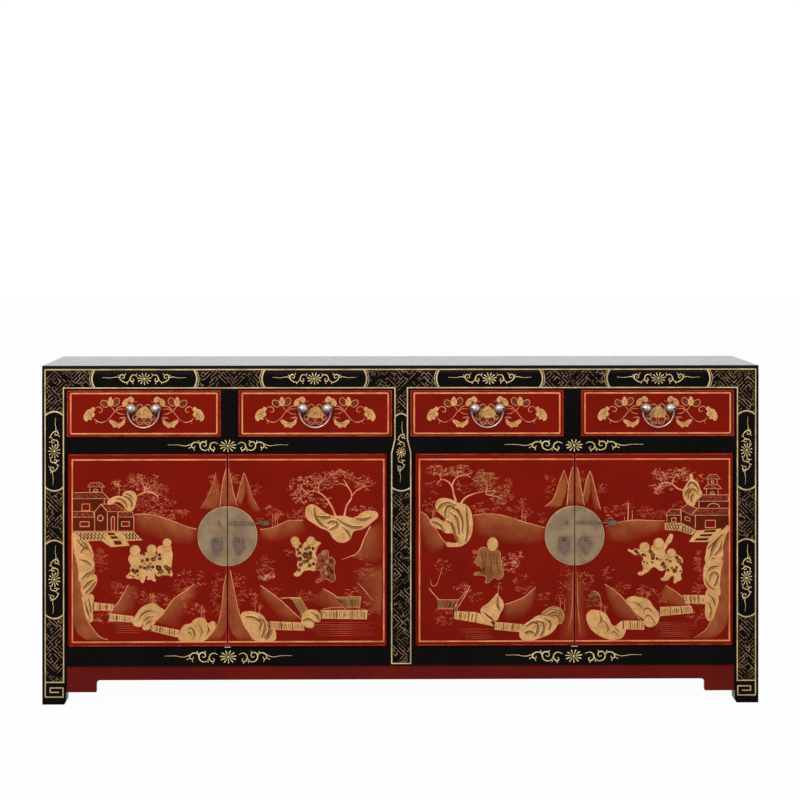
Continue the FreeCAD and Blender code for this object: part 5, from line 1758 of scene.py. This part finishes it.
def plate_marks(number):
    """A painted highlight along the rim, and the nails, on a door's half of a lock plate."""
    seam = SEAM if number > 2 else -SEAM
    toward = -1 if number % 2 else 1
    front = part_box(f"door_{number}_plate")[0][1]
    level = FACE - front * METRE
    rim = []
    for step in range(RIM_STEPS + 1):
        angle = math.radians(RIM_SWEEP / 2 - RIM_SWEEP * step / RIM_STEPS)
        x = SEAM_GAP + (RIM_RADIUS - SEAM_GAP) * math.cos(angle)
        rim.append((seam + toward * x, PLATE_CENTRE + RIM_RADIUS * math.sin(angle)))
    nails = []
    for angle in NAIL_ANGLES:
        x = seam + toward * NAIL_CIRCLE * math.cos(math.radians(angle))
        z = PLATE_CENTRE + NAIL_CIRCLE * math.sin(math.radians(angle))
        nails.append(Stroke([(x - NAIL_REACH, z), (x, z + NAIL_BOW), (x + NAIL_REACH, z)], NAIL_WIDTH))
    body = f"door_{number}"
    # The bright line round the rim is a painted highlight of the plate's bevelled edge
    paint_lines(f"{body}_plate_rim", body, [Stroke(rim, RIM_WIDTH)], FRAME_GOLD, level=level)
    metal = finishes["drop_metal"]
    paint_lines(f"{body}_plate_nails", body, nails, metal, level=level, flatten=NAIL_FLATNESS)


for number in NUMBERS:
    plate_marks(number)


# The cabinet's own pieces: finishes and softened edges

OWN_FINISHES = {
    # The apron takes the darker copy of the red lacquer, which is painted shade
    "front_apron": "shaded_red_lacquer",
    "top_panel": "top_lacquer",
    "catch_plates": "bright_metal",
    "back_panel": "long_wood",
    "bottom_board": "long_wood",
    "dust_board": "long_wood",
    "lock_pin_left": "drop_metal",
    "lock_pin_right": "drop_metal",
}
for number in NUMBERS:
    OWN_FINISHES[f"door_{number}_posts"] = "drop_metal"
    OWN_FINISHES[f"door_{number}_teardrop"] = "drop_metal"
SOFT_EDGED = ("black_lacquer", "red_lacquer", "bare_wood")
SOFT_WIDTH, SOFT_STEPS, SOFT_ANGLE = 0.0012, 2, 40
WELD_GAP = 0.00001

slots = {item["node"]: item["material_slot"] for item in frame["record"]["subparts"]}
for name, node in frame["nodes"].items():
    paint = finishes[OWN_FINISHES.get(name, slots[name])]
    if not node.material_slots:
        node.data.materials.append(paint)
    for item in node.material_slots:
        item.material = paint
    weld = node.modifiers.new("close_edges", "WELD")
    weld.merge_threshold = WELD_GAP
    if slots[name] in SOFT_EDGED:
        soften = node.modifiers.new("soft_edges", "BEVEL")
        soften.width = SOFT_WIDTH
        soften.segments = SOFT_STEPS
        soften.limit_method = "ANGLE"
        soften.angle_limit = math.radians(SOFT_ANGLE)


# Floor, light and camera, in metres

WHITE, FLOOR_GREY = (1, 1, 1, 1), (0.8, 0.8, 0.8, 1)
FLOOR_SIZE = 60
FLOOR_GLOW, FLOOR_ROUGHNESS = 0.97, 0.9
SKY_STRENGTH = 0.55
CAMERA_PLACE = (-0.1061, -5.7501, 1.1994)
CAMERA_TILT, CAMERA_TURN = -0.2737, -0.8605
CAMERA_LENS, CAMERA_SENSOR = 99.76, 36
CAMERA_SHIFT = (0.0097, -0.2039)


def seen_from_camera(tree):
    """Full for a ray that comes from the camera, straight, off a gloss or through glass."""
    rays = tree.nodes.new("ShaderNodeLightPath").outputs
    bent = calc(tree, "MAXIMUM", rays["Is Glossy Ray"], rays["Is Transmission Ray"])
    return calc(tree, "MAXIMUM", rays["Is Camera Ray"], bent)


def mix_surface(tree, output, share, first, second):
    """Feeds an output node with two shaders, the second one as strong as the share says."""
    mix = tree.nodes.new("ShaderNodeMixShader")
    for socket, value in zip(mix.inputs, (share, first, second)):
        feed(tree, socket, value)
    feed(tree, tree.nodes[output].inputs["Surface"], mix.outputs["Shader"])


def lay_floor():
    """A floor that looks near white to the camera and lights the cabinet as a pale grey."""
    bpy.ops.object.select_all(action="DESELECT")
    bpy.ops.mesh.primitive_plane_add(size=FLOOR_SIZE, location=(0, 0, 0))
    floor = bpy.context.object
    floor.name = "floor"
    ground, tree, shader = new_material("pale_floor")
    feed(tree, shader["Base Color"], FLOOR_GREY)
    feed(tree, shader["Roughness"], FLOOR_ROUGHNESS)
    feed(tree, shader["Specular IOR Level"], 0.0)
    glow = tree.nodes.new("ShaderNodeEmission")
    mix_surface(tree, "Material Output", calc(tree, "MULTIPLY", seen_from_camera(tree), FLOOR_GLOW),
                tree.nodes["Principled BSDF"].outputs["BSDF"], glow.outputs["Emission"])
    floor.data.materials.append(ground)


def hang_sky():
    """A white backdrop for the camera, and a softer light all round for the cabinet."""
    world = bpy.data.worlds.new("studio")
    bpy.context.scene.world = world
    world.use_nodes = True
    tree = world.node_tree
    sky = tree.nodes["Background"]
    backdrop = tree.nodes.new("ShaderNodeBackground")
    for background, strength in ((sky, SKY_STRENGTH), (backdrop, 1.0)):
        feed(tree, background.inputs["Color"], WHITE)
        feed(tree, background.inputs["Strength"], strength)
    mix_surface(tree, "World Output", seen_from_camera(tree), sky.outputs["Background"],
                backdrop.outputs["Background"])


def add_lamp(name, location, target, size, power):
    bpy.ops.object.light_add(type="AREA", location=location)
    lamp = bpy.context.object
    lamp.name = name
    lamp.data.shape = "RECTANGLE"
    lamp.data.size, lamp.data.size_y = size
    lamp.data.energy = power
    lamp.rotation_euler = (Vector(target) - Vector(location)).to_track_quat("-Z", "Y").to_euler()


def place_camera():
    """The camera where the photo was taken from."""
    bpy.ops.object.camera_add(location=CAMERA_PLACE,
                              rotation=(math.radians(90 + CAMERA_TILT), 0, math.radians(CAMERA_TURN)))
    camera = bpy.context.object
    camera.data.sensor_width = CAMERA_SENSOR
    camera.data.lens = CAMERA_LENS
    camera.data.shift_x, camera.data.shift_y = CAMERA_SHIFT
    bpy.context.scene.camera = camera
    bpy.context.scene.view_settings.view_transform = "Standard"


lay_floor()
hang_sky()
add_lamp("key_light", location=(-1.6, -3.6, 3.4), target=(-0.1, 0, 0.5), size=(3.0, 1.6), power=114)
add_lamp("side_fill", location=(3.6, -2.4, 2.0), target=(0.2, 0, 0.5), size=(2.0, 2.0), power=20)
add_lamp("back_fill", location=(0.0, 4.0, 3.0), target=(0, 0, 0.5), size=(3.0, 2.0), power=60)
place_camera()
